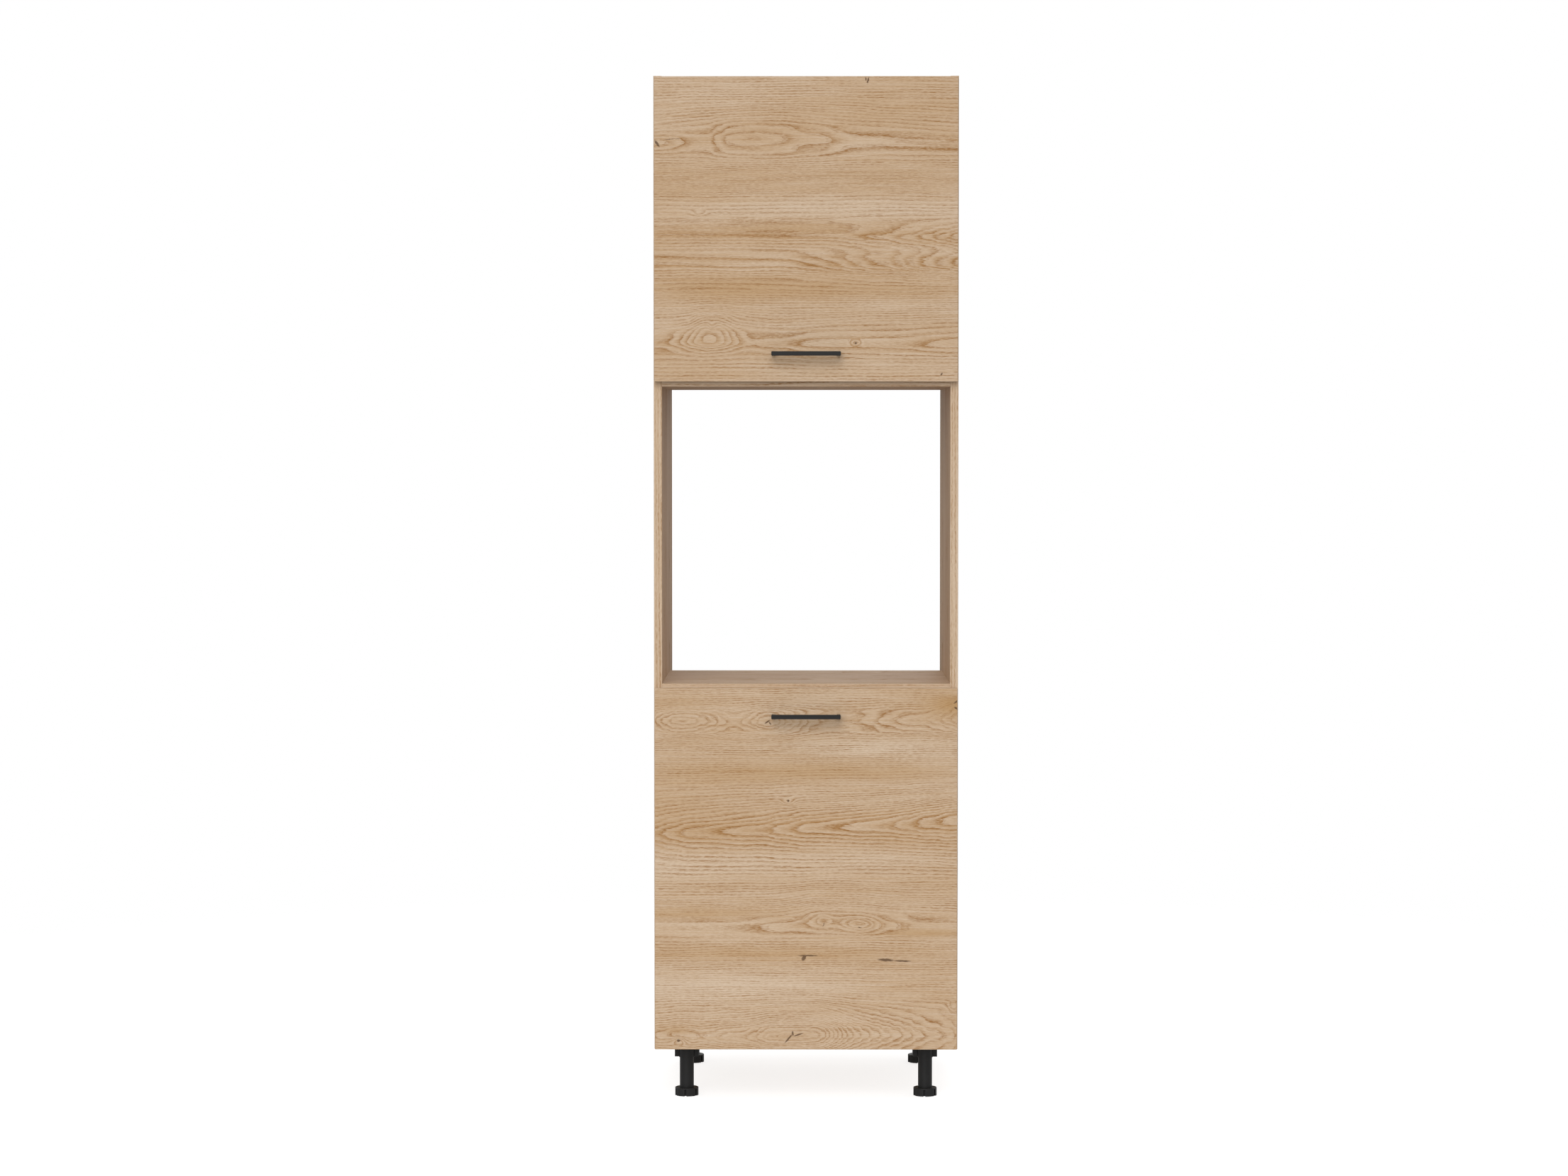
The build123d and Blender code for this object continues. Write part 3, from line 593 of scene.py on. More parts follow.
# %% The flap's rings
flap_profile = (
    (1.417, 39.5), (1.470, 31), (1.476, 30), (1.484, 29), (1.494, 28), (1.508, 29),
    (1.520, 30.5), (1.540, 34), (1.562, 38.4), (1.565, 39), (1.568, 38.4), (1.620, 25.5),
    (1.630, 21.5), (1.640, 17.8), (1.650, 16.4), (1.660, 16.6), (1.677, 17.7), (1.684, 17),
    (1.690, 16), (1.696, 15), (1.704, 14), (1.712, 15), (1.718, 16), (1.724, 17),
    (1.731, 18), (1.784, 25.5), (1.787, 26), (1.790, 25), (1.852, 4), (1.858, 2.9),
    (1.865, 1.9), (1.875, 0.85), (1.889, 0), (1.903, 0.85), (1.913, 1.9), (1.920, 2.9),
    (1.926, 4), (2.018, 21),
)
flap_crowns = (
    Crown(1.889, 0.036, 0.45, (
        (-0.30, 3.1), (-0.20, 2.75), (-0.181, 2), (-0.162, 1), (-0.10, 0.15), (-0.027, 1),
        (0.056, 2), (0.12, 2.6), (0.30, 2.8),
    )),
    Crown(1.704, 0.026, 1.2, (
        (-0.30, 5.6), (0.0, 5.4), (0.101, 5), (0.175, 4), (0.224, 3), (0.255, 2),
        (0.286, 1), (0.30, 0.5),
    )),
    Crown(1.648, 0.034, 1.2, (
        (-0.30, 9.5), (-0.10, 9.3), (-0.018, 9), (0.040, 8), (0.079, 7), (0.118, 6),
        (0.170, 5), (0.195, 4), (0.222, 3), (0.249, 2), (0.283, 1), (0.30, 0.4),
    )),
    Crown(1.494, 0.028, 0.9, (
        (-0.30, 3.6), (-0.13, 3.4), (-0.097, 3), (-0.013, 2), (0.10, 1.5), (0.230, 1),
        (0.30, 0.4),
    )),
)
print("flap:", len(flap_profile), "points across,", len(flap_crowns), "crowns")

# %% The flap's knots, bends, patches and cracks
MARKS = ("crowns", "knots", "bends", "patches", "cracks")


def count_marks(board):
    """How many marks of each kind a board has, in words."""
    return ", ".join(f"{len(getattr(board, kind))} {kind}" for kind in MARKS)


front_ends = (-0.30, 0.30)
flap_board = Board(
    grain="X", cross="Z", ends=front_ends, sides=(1.417, 2.018), seed=2.0,
    profile=flap_profile, crowns=flap_crowns,
    knots=(
        Knot(-0.295, 1.889, 0.060, 0.020, -2.5),
        Knot(-0.190, 1.500, 0.055, 0.024, -5.0),
        Knot(-0.184, 1.516, 0.008, 0.006, 1.5),
        Knot(0.0975, 1.496, 0.010, 0.005, 2.0),
        Knot(-0.2105, 1.751, 0.014, 0.006, 1.5),
        Knot(-0.150, 1.645, 0.075, 0.012, -0.35),
    ),
    bends=(
        Bend(1.540, 0.030, (
            (-0.30, 0.0), (-0.24, 0.003), (-0.185, 0.016), (-0.13, 0.005), (-0.05, -0.002),
            (0.10, 0.004), (0.30, 0.008),
        )),
        Bend(1.930, 0.050, (
            (-0.30, -0.004), (-0.18, 0.006), (-0.05, 0.010), (0.08, 0.002), (0.20, -0.006),
            (0.30, -0.010),
        )),
    ),
    patches=(
        Patch(0.0, 1.820, 0.45, 0.030, 0.45), Patch(0.05, 1.760, 0.35, 0.022, -0.7),
        Patch(-0.02, 1.722, 0.14, 0.012, 0.6), Patch(-0.10, 1.600, 0.40, 0.022, 0.45),
        Patch(0.10, 1.572, 0.20, 0.012, -0.4), Patch(-0.12, 1.645, 0.12, 0.016, -0.6),
        Patch(-0.20, 1.985, 0.25, 0.025, -0.2), Patch(0.10, 1.885, 0.08, 0.014, -0.5),
        Patch(0.10, 1.500, 0.14, 0.016, -0.5),
    ),
    cracks=(
        Crack(0.121, 2.009, 0.007, 0.0020, 75),
        Crack(0.117, 2.012, 0.004, 0.0016, 100),
        Crack(-0.292, 1.886, 0.009, 0.0027, -55),
        Crack(-0.262, 1.895, 0.018, 0.0006, 2),
        Crack(0.0975, 1.496, 0.0028, 0.0024, 20),
        Crack(0.266, 1.435, 0.004, 0.0019, 60),
    ),
)
print("flap:", count_marks(flap_board))

# %% [markdown]
# The door, from the top: small rings on both sides of the handle, a large crown that opens
# to the right, a flat eye with two knots, and another crown along the bottom edge. Dark
# cracks lie between them, as rustic oak has.

# %% The door's rings
door_profile = (
    (0.100, 6.5), (0.112, 3), (0.122, 0.8), (0.131, 0), (0.140, 0.8), (0.150, 3),
    (0.160, 6), (0.170, 9), (0.182, 12.5), (0.227, 23.4), (0.230, 24), (0.233, 23.4),
    (0.280, 13), (0.316, 5), (0.321, 4), (0.327, 3), (0.333, 2.2), (0.345, 1), (0.357, 2.2),
    (0.363, 3), (0.369, 4), (0.374, 5), (0.402, 11), (0.437, 17.6), (0.440, 18),
    (0.443, 17.6), (0.482, 10.5), (0.506, 5.6), (0.513, 4.4), (0.518, 3.4), (0.523, 2.5),
    (0.528, 1.8), (0.540, 1), (0.552, 1.8), (0.557, 2.5), (0.562, 3.4), (0.567, 4.4),
    (0.574, 5.6), (0.602, 13), (0.652, 24.4), (0.655, 25), (0.658, 24.3), (0.718, 8),
    (0.725, 5), (0.732, 2.8), (0.741, 1.3), (0.746, 0.5), (0.752, 0), (0.758, 0.5),
    (0.763, 1.3), (0.772, 2.8), (0.779, 5), (0.818, 16),
)
door_crowns = (
    Crown(0.752, 0.030, 0.25, (
        (-0.30, 3.4), (-0.292, 2.6), (-0.278, 1.6), (-0.254, 0.4), (-0.245, 0.2),
        (-0.224, 0.6), (-0.203, 1.6), (-0.181, 2.6), (-0.165, 3.6), (-0.140, 4.2),
        (-0.110, 3.0), (-0.074, 1), (-0.040, 3.0), (-0.010, 5), (0.015, 6.5), (0.060, 7.2),
        (0.126, 6.6), (0.143, 6), (0.182, 5), (0.244, 4), (0.269, 3), (0.290, 2),
        (0.30, 1.6),
    )),
    Crown(0.540, 0.062, 1.3, (
        (-0.30, 9.4), (-0.283, 9), (-0.247, 8), (-0.198, 7.3), (-0.128, 6.7), (-0.066, 6),
        (-0.020, 5), (0.028, 4.3), (0.108, 3.7), (0.147, 3.2), (0.175, 3), (0.220, 2),
        (0.269, 1), (0.30, 0.4),
    )),
    Crown(0.345, 0.020, 0.5, (
        (-0.30, 2.6), (-0.097, 2), (0.0, 1), (0.070, 0.2), (0.143, 1), (0.192, 2),
        (0.30, 2.8),
    )),
    Crown(0.131, 0.050, 0.25, (
        (-0.30, 6), (-0.270, 5), (-0.240, 4.2), (-0.208, 5), (-0.170, 4), (-0.114, 3),
        (-0.094, 2), (-0.080, 1), (-0.030, 0.1), (0.027, 1), (0.046, 3), (0.063, 5),
        (0.081, 7), (0.108, 9), (0.147, 11), (0.189, 13), (0.234, 15), (0.269, 16),
        (0.30, 17.3),
    )),
)
print("door:", len(door_profile), "points across,", len(door_crowns), "crowns")

# %% The door's knots, bends, patches and cracks
door_board = Board(
    grain="X", cross="Z", ends=front_ends, sides=(0.100, 0.818), seed=31.0,
    profile=door_profile, crowns=door_crowns,
    knots=(
        Knot(0.300, 0.786, 0.030, 0.016, -3.0),
        Knot(-0.035, 0.595, 0.014, 0.008, 2.0),
        Knot(0.035, 0.350, 0.016, 0.010, -1.6),
        Knot(0.106, 0.344, 0.028, 0.012, -2.6),
        Knot(-0.252, 0.1195, 0.016, 0.008, 3.0),
        Knot(0.291, 0.188, 0.010, 0.010, 2.0),
    ),
    bends=(
        Bend(0.385, 0.045, (
            (-0.30, 0.0), (-0.08, 0.0), (-0.02, 0.006), (0.03, 0.014), (0.09, 0.013),
            (0.20, 0.004), (0.30, 0.0),
        )),
        Bend(0.560, 0.060, (
            (-0.30, -0.014), (-0.10, -0.006), (0.0, 0.0), (0.15, 0.006), (0.30, 0.018),
        )),
    ),
    patches=(
        Patch(0.05, 0.652, 0.32, 0.020, 0.7), Patch(0.12, 0.698, 0.16, 0.018, -0.7),
        Patch(-0.25, 0.790, 0.10, 0.014, 0.5), Patch(0.29, 0.785, 0.05, 0.022, 1.0),
        Patch(0.0, 0.470, 0.45, 0.030, -0.5), Patch(-0.22, 0.372, 0.16, 0.012, 0.8),
        Patch(-0.20, 0.345, 0.16, 0.010, -0.5), Patch(0.25, 0.333, 0.10, 0.008, 0.9),
        Patch(-0.10, 0.292, 0.35, 0.014, 0.5), Patch(-0.15, 0.225, 0.30, 0.035, -0.6),
        Patch(-0.26, 0.140, 0.04, 0.008, 0.8), Patch(0.0, 0.130, 0.08, 0.014, 0.3),
    ),
    cracks=(
        Crack(-0.076, 0.751, 0.007, 0.0019, 35),
        Crack(-0.071, 0.748, 0.004, 0.0019, -60),
        Crack(0.296, 0.791, 0.006, 0.0017, 40),
        Crack(0.296, 0.778, 0.006, 0.0017, -30),
        Crack(-0.035, 0.595, 0.0026, 0.0027, 0),
        Crack(0.035, 0.350, 0.0045, 0.0009, 72),
        Crack(0.106, 0.344, 0.0050, 0.0008, 0),
        Crack(0.105, 0.3445, 0.0020, 0.0008, 90),
        Crack(0.004, 0.2885, 0.022, 0.0019, 0),
        Crack(-0.004, 0.284, 0.0075, 0.0043, 60),
        Crack(0.158, 0.280, 0.018, 0.0030, -4),
        Crack(0.190, 0.278, 0.020, 0.0019, -2),
        Crack(-0.034, 0.124, 0.013, 0.0019, 50),
        Crack(-0.026, 0.134, 0.006, 0.0019, 100),
        Crack(-0.015, 0.1315, 0.011, 0.0016, 18),
        Crack(-0.252, 0.1195, 0.0038, 0.0032, 0),
    ),
)
print("door:", count_marks(door_board))

# %% [markdown]
# The sides and the level boards hardly show in the photograph. Their marks are made up, of the
# same kind and size as those of the fronts.

# %% The sides' sheet
side_board = Board(
    grain="Z", cross="Y", ends=(0.10, 2.02), sides=(-0.26, 0.31), seed=57.0,
    profile=(
        (-0.26, 21), (-0.16, 6), (-0.13, 2.2), (-0.105, 0.5), (-0.08, 2.2), (-0.05, 6),
        (0.03, 18), (0.11, 6), (0.13, 2.4), (0.15, 1), (0.17, 2.4), (0.19, 6), (0.31, 24),
    ),
    crowns=(
        Crown(-0.105, 0.035, 1.0, (
            (0.10, 1), (0.40, 3), (0.75, 5), (1.10, 8), (1.60, 10), (2.02, 12),
        )),
        Crown(0.150, 0.030, 1.0, (
            (0.10, 10), (0.50, 8), (0.80, 5), (1.05, 2), (1.25, 0.3), (1.45, 2), (1.70, 5),
            (2.02, 8),
        )),
    ),
    knots=(Knot(0.46, 0.045, 0.040, 0.016, -5.0), Knot(1.58, -0.18, 0.030, 0.012, -4.0)),
    bends=(),
    patches=(Patch(0.70, -0.02, 0.40, 0.05, 0.4), Patch(1.40, 0.08, 0.40, 0.05, -0.5)),
    cracks=(Crack(0.46, 0.045, 0.006, 0.0012, 20),),
)
print("sides:", count_marks(side_board))

# %% The level boards' sheet
level_board = Board(
    grain="X", cross="Y", ends=front_ends, sides=(-0.26, 0.31), seed=83.0,
    profile=(
        (-0.26, 20), (-0.16, 6), (-0.13, 2.2), (-0.11, 1), (-0.09, 2.2), (-0.06, 6), (0.02, 15),
        (0.10, 5), (0.12, 1.6), (0.13, 1), (0.14, 1.6), (0.16, 5), (0.31, 24),
    ),
    crowns=(
        Crown(-0.110, 0.030, 1.0, ((-0.30, 7), (-0.10, 5), (0.10, 3), (0.22, 1), (0.30, 0.2))),
        Crown(0.130, 0.026, 1.0, ((-0.30, 0.5), (-0.12, 2), (0.08, 4), (0.30, 7))),
    ),
    knots=(Knot(0.08, 0.02, 0.030, 0.012, -3.0),),
    bends=(),
    patches=(),
    cracks=(),
)
print("level boards:", count_marks(level_board))

# %% [markdown]
# ## The other finishes
#
# The handles are matt black powder coat, which is never quite smooth. The legs are moulded
# black plastic, a touch shinier. Both could be one flat black, but fine noise in the bump
# and the roughness breaks up their highlights as on the real pieces.

# %% Powder coat and plastic
PEEL_PER_METRE, WEAR_PER_METRE = 1400.0, 35.0
SPARKS_PER_METRE, FLOW_PER_METRE = 2200.0, 60.0


def powder_coat(name, dark, pale, roughness):
    """Sprayed paint with a fine orange-peel skin."""
    material, start = new_material(name)
    skin = speckle(start, PEEL_PER_METRE)
    worn = speckle(start, WEAR_PER_METRE, detail=4.0)
    colour = mix(start, skin * 0.6 + worn * 0.4, dark, pale)
    normal = relief(start, skin, strength=0.18, depth=0.0002)
    finish_material(start, colour, worn * 0.12 + roughness, normal, Specular_IOR_Level=0.25)
    return material


def moulded_plastic(name, dark, pale, roughness):
    """Moulded plastic with a faint spark-eroded grain."""
    material, start = new_material(name)
    grain = speckle(start, SPARKS_PER_METRE, detail=1.0)
    flow = speckle(start, FLOW_PER_METRE, detail=3.0)
    colour = mix(start, flow, dark, pale)
    normal = relief(start, grain, strength=0.10, depth=0.0002)
    dull = flow * 0.10 + grain * 0.06 + roughness
    finish_material(start, colour, dull, normal, Specular_IOR_Level=0.3)
    return material


black_handle = powder_coat("handle_black", tone(28, 27, 27), tone(40, 39, 38), 0.46)
strut_black = powder_coat("strut_black", tone(28, 28, 29), tone(42, 42, 43), 0.30)
black_plastic = moulded_plastic("leg_black", tone(22, 22, 22), tone(32, 32, 32), 0.40)
bumper_rubber = moulded_plastic("bumper_pale", tone(196, 194, 188), tone(212, 210, 204), 0.5)
print("handle coat has", len(black_handle.node_tree.nodes), "nodes")

# %% [markdown]
# Hinges and brackets are pressed steel with a thin nickel skin, and the strut's rod is
# polished. A mirror-smooth metal looks like chrome, so noise that is stretched one way
# stands for the marks that rolling leaves.

# %% Plated steel
ROLLING_MARKS = Noise(60.0, 2600.0, 4.0, 3.0)
HAZE_PER_METRE = 90.0


def plated_steel(name, dark, pale, roughness):
    """Plated sheet steel with faint rolling marks."""
    material, start = new_material(name)
    x, y, z = start.node("TexCoord", out="Object").split()
    marks = grain_noise(start, x + z, y, ROLLING_MARKS)
    haze = speckle(start, HAZE_PER_METRE, detail=3.0)
    colour = mix(start, marks * 0.5 + haze * 0.5, dark, pale)
    normal = relief(start, marks, strength=0.06, depth=0.0001)
    finish_material(start, colour, marks * 0.12 + haze * 0.10 + roughness, normal, Metallic=1.0)
    return material


bright_steel = plated_steel("rod_bright", tone(196, 197, 198), tone(222, 222, 222), 0.10)
nickel_steel = plated_steel("hinge_nickel", tone(168, 166, 161), tone(198, 195, 188), 0.24)
print("steel has", len(nickel_steel.node_tree.nodes), "nodes")

# %% [markdown]
# The thin backs are coated pale on the inside only, so from behind they are plain brown
# fibreboard. The side is read from the normal, which saves cutting the mesh in two. The
# dowels are bare beech, with the short flecks that tell it from other pale woods.

# %% Fibreboard and beech
FELT_PER_METRE, BLOTCHES_PER_METRE = 700.0, 14.0
FLECKS = Noise(120.0, 1600.0, 9.0)


def fibreboard(name):
    """Thin fibreboard: a pale coat towards the room, bare brown fibres behind."""
    material, start = new_material(name)
    behind = start.node("TexCoord", out="Normal").split()[AXES.index("Y")] > -TURNED_TO
    felt = speckle(start, FELT_PER_METRE, detail=4.0)
    blotch = speckle(start, BLOTCHES_PER_METRE, detail=3.0)
    bare = mix(start, felt * 0.7 + blotch * 0.3, tone(150, 112, 76), tone(112, 80, 52))
    coat = mix(start, felt * 0.3, tone(214, 206, 192), tone(203, 194, 178))
    colour = mix(start, behind, coat, bare)
    normal = relief(start, felt, strength=0.12, depth=0.0003)
    finish_material(start, colour, felt * 0.15 + 0.55, normal)
    return material


def bare_beech(name):
    """Bare beech with its short flecks, for the dowels."""
    material, start = new_material(name)
    x, y, z = start.node("TexCoord", out="Object").split()
    flecks = grain_noise(start, x, y + z, FLECKS)
    colour = mix(start, flecks, tone(214, 178, 132), tone(186, 142, 96))
    finish_material(start, colour, flecks * 0.1 + 0.6)
    return material


hardboard = fibreboard("back_fibreboard")
beech = bare_beech("beech_dowels")
print("fibreboard has", len(hardboard.node_tree.nodes), "nodes")

# %% [markdown]
# ## Dressing the cabinet
#
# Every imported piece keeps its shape, and only the material in its slots changes. The record
# says which finish a piece has. Oak is the one that needs more: the flap, the door and the
# sides each have their own sheet, and all other boards share the sheet of the level boards.

# %% Dress every CAD node
side_oak = oak("oak_sides", side_board, raw_back=True)
level_oak = oak("oak_level_boards", level_board, raw_back=True)
oak_of = {
    "upper_flap": oak("oak_flap", flap_board),
    "lower_door": oak("oak_door", door_board),
    "side_panel_left": side_oak,
    "side_panel_right": side_oak,
}
finish_of = {
    "white_hardboard": hardboard,
    "beech": beech,
    "black_handle": black_handle,
    "black_plastic": black_plastic,
    "bumper_rubber": bumper_rubber,
    "strut_black": strut_black,
    "bright_steel": bright_steel,
    "nickel_steel": nickel_steel,
}
for name, piece in nodes.items():
    in_oak = slot_of[name] == "oak_laminate"
    finish = oak_of.get(name, level_oak) if in_oak else finish_of[slot_of[name]]
    for material_slot in piece.material_slots:
        material_slot.material = finish
print("dressed", len(nodes), "nodes")

# %% [markdown]
# ## The screws
#
# The hinges, the struts' brackets and the legs are held by small pan-head screws with a
# cross recess, which the CAD model leaves out. A bump map could fake the recess from one
# side, but a real one catches the light from every side. So one screw is modelled: a short
# cylinder is rounded along its top rim, and two tapered bars are cut out of it.

# %% Select faces and cut a bar
HEAD_RADIUS = 0.0034
HEAD_HEIGHT = 0.0020
RECESS_LENGTH = 0.0042
RECESS_WIDTH = 0.0010
RECESS_DEPTH = 0.0012
RECESS_TAPER = 0.6
LEVEL = 0.9


def select_faces(piece, wanted):
    """Go into edit mode with only the wanted faces selected."""
    for part in (piece.data.vertices, piece.data.edges):
        part.foreach_set("select", [False] * len(part))
    for face in piece.data.polygons:
        face.select = wanted(face)
    bpy.ops.object.mode_set(mode="EDIT")
    bpy.ops.mesh.select_mode(type="FACE")


def cut_bar(piece, turn):
    """Cut one bar of the cross out of the screw's head."""
    bpy.ops.object.select_all(action="DESELECT")
    bpy.ops.mesh.primitive_cube_add(size=1.0, location=(0, 0, HEAD_HEIGHT))
    bar = bpy.context.object
    bar.scale = (RECESS_LENGTH, RECESS_WIDTH, 2 * RECESS_DEPTH)
    bar.rotation_euler.z = turn
    bpy.ops.object.transform_apply(location=True, rotation=True, scale=True)
    select_faces(bar, lambda face: face.normal.z < -LEVEL)
    bpy.ops.transform.resize(value=(RECESS_TAPER, RECESS_TAPER, 1.0))
    bpy.ops.object.mode_set(mode="OBJECT")
    cut = piece.modifiers.new("recess", "BOOLEAN")
    cut.operation = "DIFFERENCE"
    cut.object = bar
    bpy.context.view_layer.objects.active = piece
    bpy.ops.object.modifier_apply(modifier=cut.name)
    bpy.data.objects.remove(bar)


print("head:", 2000 * HEAD_RADIUS, "mm across, recess:", 1000 * RECESS_DEPTH, "mm deep")

# %% Model one screw
HEAD_SIDES = 32
RIM_SHARE = 0.6
RIM_STEPS = 4
SMOOTH_BELOW = math.radians(35)

bpy.ops.object.select_all(action="DESELECT")
bpy.ops.mesh.primitive_cylinder_add(
    vertices=HEAD_SIDES, radius=HEAD_RADIUS, depth=HEAD_HEIGHT, location=(0, 0, HEAD_HEIGHT / 2)
)
screw = bpy.context.object
bpy.ops.object.transform_apply(location=True)
select_faces(screw, lambda face: face.normal.z > LEVEL)
bpy.ops.mesh.region_to_loop()
bpy.ops.mesh.bevel(offset=HEAD_HEIGHT * RIM_SHARE, segments=RIM_STEPS, affect="EDGES")
bpy.ops.object.mode_set(mode="OBJECT")
cut_bar(screw, 0.0)
cut_bar(screw, math.radians(90))
bpy.ops.object.select_all(action="DESELECT")
screw.select_set(True)
bpy.ops.object.shade_smooth_by_angle(angle=SMOOTH_BELOW)
print("screw faces:", len(screw.data.polygons))

# %% [markdown]
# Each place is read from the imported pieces: a plate of known thickness lies on one side of
# its node's box, and the screws stand out of the plate's other face. A head is let in a hair,
# so that no gap shows below it, and each is turned a little further, because nobody stops
# tightening screws at the same angle.

# %% Find a plate and put screws in it
LET_IN = 0.0002
EACH_TURN = 0.7

inwards, downwards = Vector((0, 1, 0)), Vector((0, 0, -1))
rightwards, upwards = Vector((1, 0, 0)), Vector((0, 0, 1))


def plate_face(node, facing, thickness):
    """Middle of the face of a plate that lies on the far side of a node's box."""
    low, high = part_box(node)
    half = abs((high - low).dot(facing)) / 2
    return (low + high) / 2 + facing * (thickness - half)


def pair(middle, along, spacing):
    """Two places, one on each side of the middle."""
    return [middle - along * spacing, middle + along * spacing]


def put_screws(node, facing, places):
    """Copy the screw to each place, riding with the node that it holds."""
    stand = facing.to_track_quat("Z", "Y").to_matrix().to_4x4()
    for number, place in enumerate(places, 1):
        copy = bpy.data.objects.new(f"{node}_screw_{number}", screw.data.copy())
        bpy.context.scene.collection.objects.link(copy)
        turn = Matrix.Rotation(number * EACH_TURN, 4, "Z")
        copy.data.transform(Matrix.Translation(place - facing * LET_IN) @ stand @ turn)
        copy.data.materials.append(finish_of["nickel_steel"])
        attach(copy, body_of[node])


print("heads are let in by", 1000 * LET_IN, "mm")

# %% Screws of the hinges
PLATE = 0.002
ARM_TOP = 0.0115
ARM_FRONT_SCREW, ARM_BACK_SCREW = 0.0025, 0.0205
CUP_EARS = 0.0242
EAR_SPACING = 0.024
WING_SPACING = 0.016

hinges = (
    ("door_hinge_lower", rightwards, upwards), ("door_hinge_upper", rightwards, upwards),
    ("flap_hinge_left", downwards, rightwards), ("flap_hinge_right", downwards, rightwards),
)
for hinge, away, pin in hinges:
    ears = plate_face(f"{hinge}_cup", away, CUP_EARS)
    ears.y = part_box(f"{hinge}_cup")[1].y
    put_screws(f"{hinge}_cup", inwards, pair(ears, pin, EAR_SPACING))
    wings = plate_face(f"{hinge}_plate", away, PLATE)
    put_screws(f"{hinge}_plate", away, pair(wings, pin, WING_SPACING))
    arm = plate_face(f"{hinge}_plate", away, ARM_TOP)
    along_arm = [arm + inwards * ARM_FRONT_SCREW, arm + inwards * ARM_BACK_SCREW]
    put_screws(f"{hinge}_arm", away, along_arm)
print("hinges fitted:", len(hinges))

# %% Screws of the struts and the legs
SOCKET_PLATE = 0.003
SOCKET_SPACING = 0.018
BASE_SPACING = 0.014
BRACKET_SPACING = 0.011
BRACKET_SHIFT = 0.0055

for side, to_middle in (("left", rightwards), ("right", -rightwards)):
    base = plate_face(f"strut_base_{side}", to_middle, PLATE)
    put_screws(f"strut_base_{side}", to_middle, pair(base, upwards, BASE_SPACING))
    bracket = plate_face(f"strut_flap_bracket_{side}", inwards, PLATE)
    bracket = bracket + to_middle * BRACKET_SHIFT
    put_screws(f"strut_flap_bracket_{side}", inwards, pair(bracket, upwards, BRACKET_SPACING))
for corner in ("front_left", "front_right", "back_left", "back_right"):
    socket = plate_face(f"leg_socket_{corner}", downwards, SOCKET_PLATE)
    socket = socket - inwards * SOCKET_SPACING
    put_screws(f"leg_socket_{corner}", downwards, pair(socket, rightwards, SOCKET_SPACING))
bpy.data.objects.remove(screw)

# %% [markdown]
# ## The studio
#
# The photograph has a white ground and soft light. A pale floor that glows keeps the shadow
# under the cabinet faint, and it fades out into the white sky a few steps away. Such a floor
# would also light the door from below. So it shows its full glow to the camera only, and is
# dim for the light that bounces off it.

# %% The floor
FLOOR_SIZE = 60.0
FADE_FROM, FADE_TO = 1.4, 3.2
FLOOR_GREY = tone(170, 170, 170)
GLOW_SEEN = 0.78
GLOW_BOUNCED = 0.26
WHITE = (1, 1, 1, 1)

bpy.ops.object.select_all(action="DESELECT")
bpy.ops.mesh.primitive_plane_add(size=FLOOR_SIZE, location=(0, 0, 0))
floor = bpy.context.object
floor.name = "studio_floor"
floor_material, ground = new_material("studio_floor")
x, y = ground.node("TexCoord", out="Object").split()[:2]
far = between(ground, (x * x + y * y) ** 0.5, FADE_FROM, FADE_TO)
matt = {"Base Color": FLOOR_GREY, "Roughness": 0.9, "Emission Color": WHITE}
dim = ground.node("BsdfPrincipled", sockets={**matt, "Emission Strength": GLOW_BOUNCED})
bright = ground.node("BsdfPrincipled", sockets={**matt, "Emission Strength": GLOW_SEEN})
seen = ground.node("LightPath", out="Is Camera Ray")
surface = ground.node("MixShader", sockets={0: seen, 1: dim, 2: bright})
open_air = ground.node("BsdfTransparent")
faded = ground.node("MixShader", sockets={0: far, 1: surface, 2: open_air})
ground.node("OutputMaterial", sockets={"Surface": faded})
floor.data.materials.append(floor_material)
print("the floor fades out", FADE_FROM, "to", FADE_TO, "m from the middle")

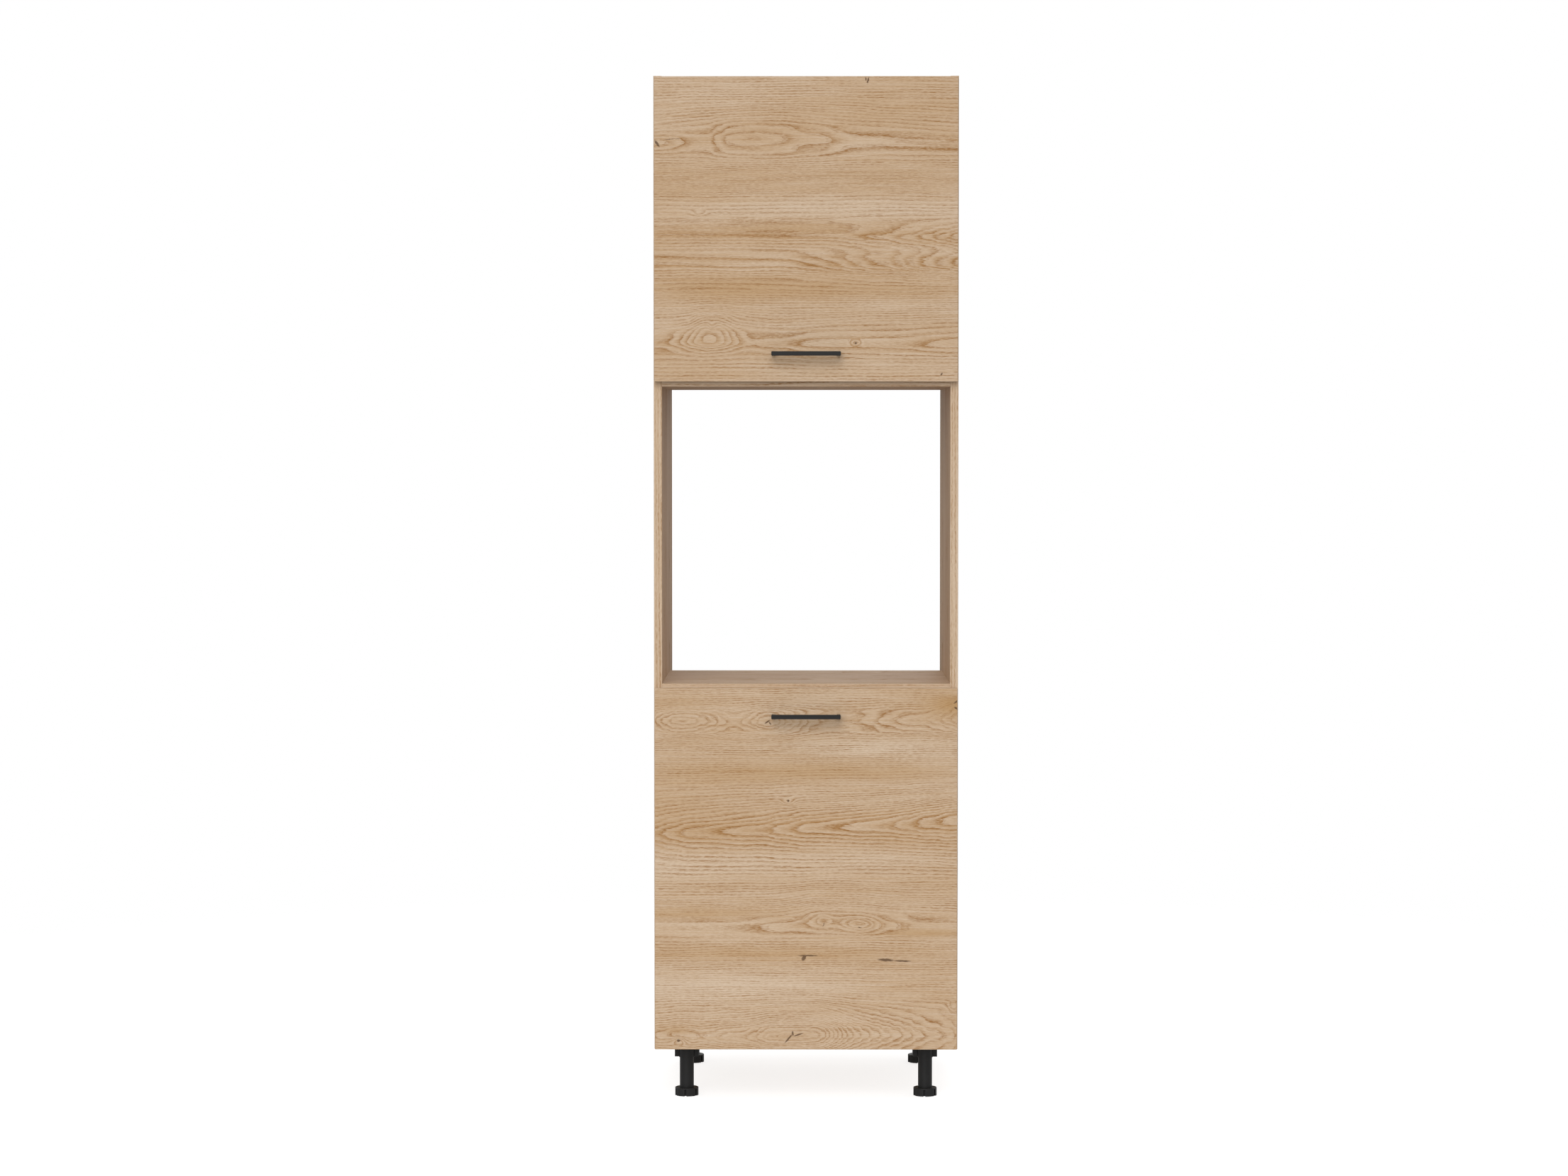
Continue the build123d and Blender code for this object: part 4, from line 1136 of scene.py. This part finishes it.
# %% [markdown]
# Three wide lamps stand far off. The key lamp is near the camera, a little to the left. The
# top lamp hangs high above it and gives the handles their soft shadows. The weak back lamp
# reaches the rear of the niche and the back. Small lamps would give the handles hard shadows,
# which the photograph doesn't have.

# %% The lamps
def soft_lamp(name, place, target, width, height, power):
    """A wide lamp at a place, turned towards a target."""
    lamp_data = bpy.data.lights.new(name, "AREA")
    lamp_data.shape = "RECTANGLE"
    lamp_data.size = width
    lamp_data.size_y = height
    lamp_data.energy = power
    lamp = bpy.data.objects.new(name, lamp_data)
    lamp.location = place
    aim = Vector(target) - Vector(place)
    lamp.rotation_euler = aim.to_track_quat("-Z", "Y").to_euler()
    bpy.context.scene.collection.objects.link(lamp)


soft_lamp(
    "key_lamp", place=(-1.4, -7.0, 2.3), target=(0, 0, 1.3), width=3.6, height=2.4, power=96.0
)
soft_lamp(
    "top_lamp", place=(-0.6, -6.4, 5.3), target=(0, 0, 1.4), width=4.4, height=3.0, power=160.0
)
soft_lamp(
    "back_lamp", place=(1.6, 5.5, 3.4), target=(0, 0, 1.0), width=3.0, height=2.0, power=34.0
)
print("lamps:", len(bpy.data.lights))

# %% [markdown]
# The sky fills the rest, more from above the horizon than from below it. The camera sees it
# plain white, as the photograph's ground is.

# %% The sky
BELOW_HORIZON, ABOVE_HORIZON = -0.25, 0.15
SKY_BELOW = 0.22
SKY_GAIN = 0.46

world = bpy.data.worlds.new("studio_sky")
world.use_nodes = True
world.node_tree.nodes.clear()
sky = Wire(world.node_tree)
seen = sky.node("LightPath", out="Is Camera Ray")
white = sky.node("Background", sockets={"Color": WHITE, "Strength": 1.0})
height = sky.node("TexCoord", out="Generated").split()[AXES.index("Z")]
strength = between(sky, height, BELOW_HORIZON, ABOVE_HORIZON) * SKY_GAIN + SKY_BELOW
fill = sky.node("Background", sockets={"Color": WHITE, "Strength": strength})
shown = sky.node("MixShader", sockets={0: seen, 1: fill, 2: white})
sky.node("OutputWorld", sockets={"Surface": shown})
bpy.context.scene.world = world
bpy.context.scene.view_settings.view_transform = "Standard"
print("the sky gives", SKY_BELOW, "below and", round(SKY_BELOW + SKY_GAIN, 2), "above")
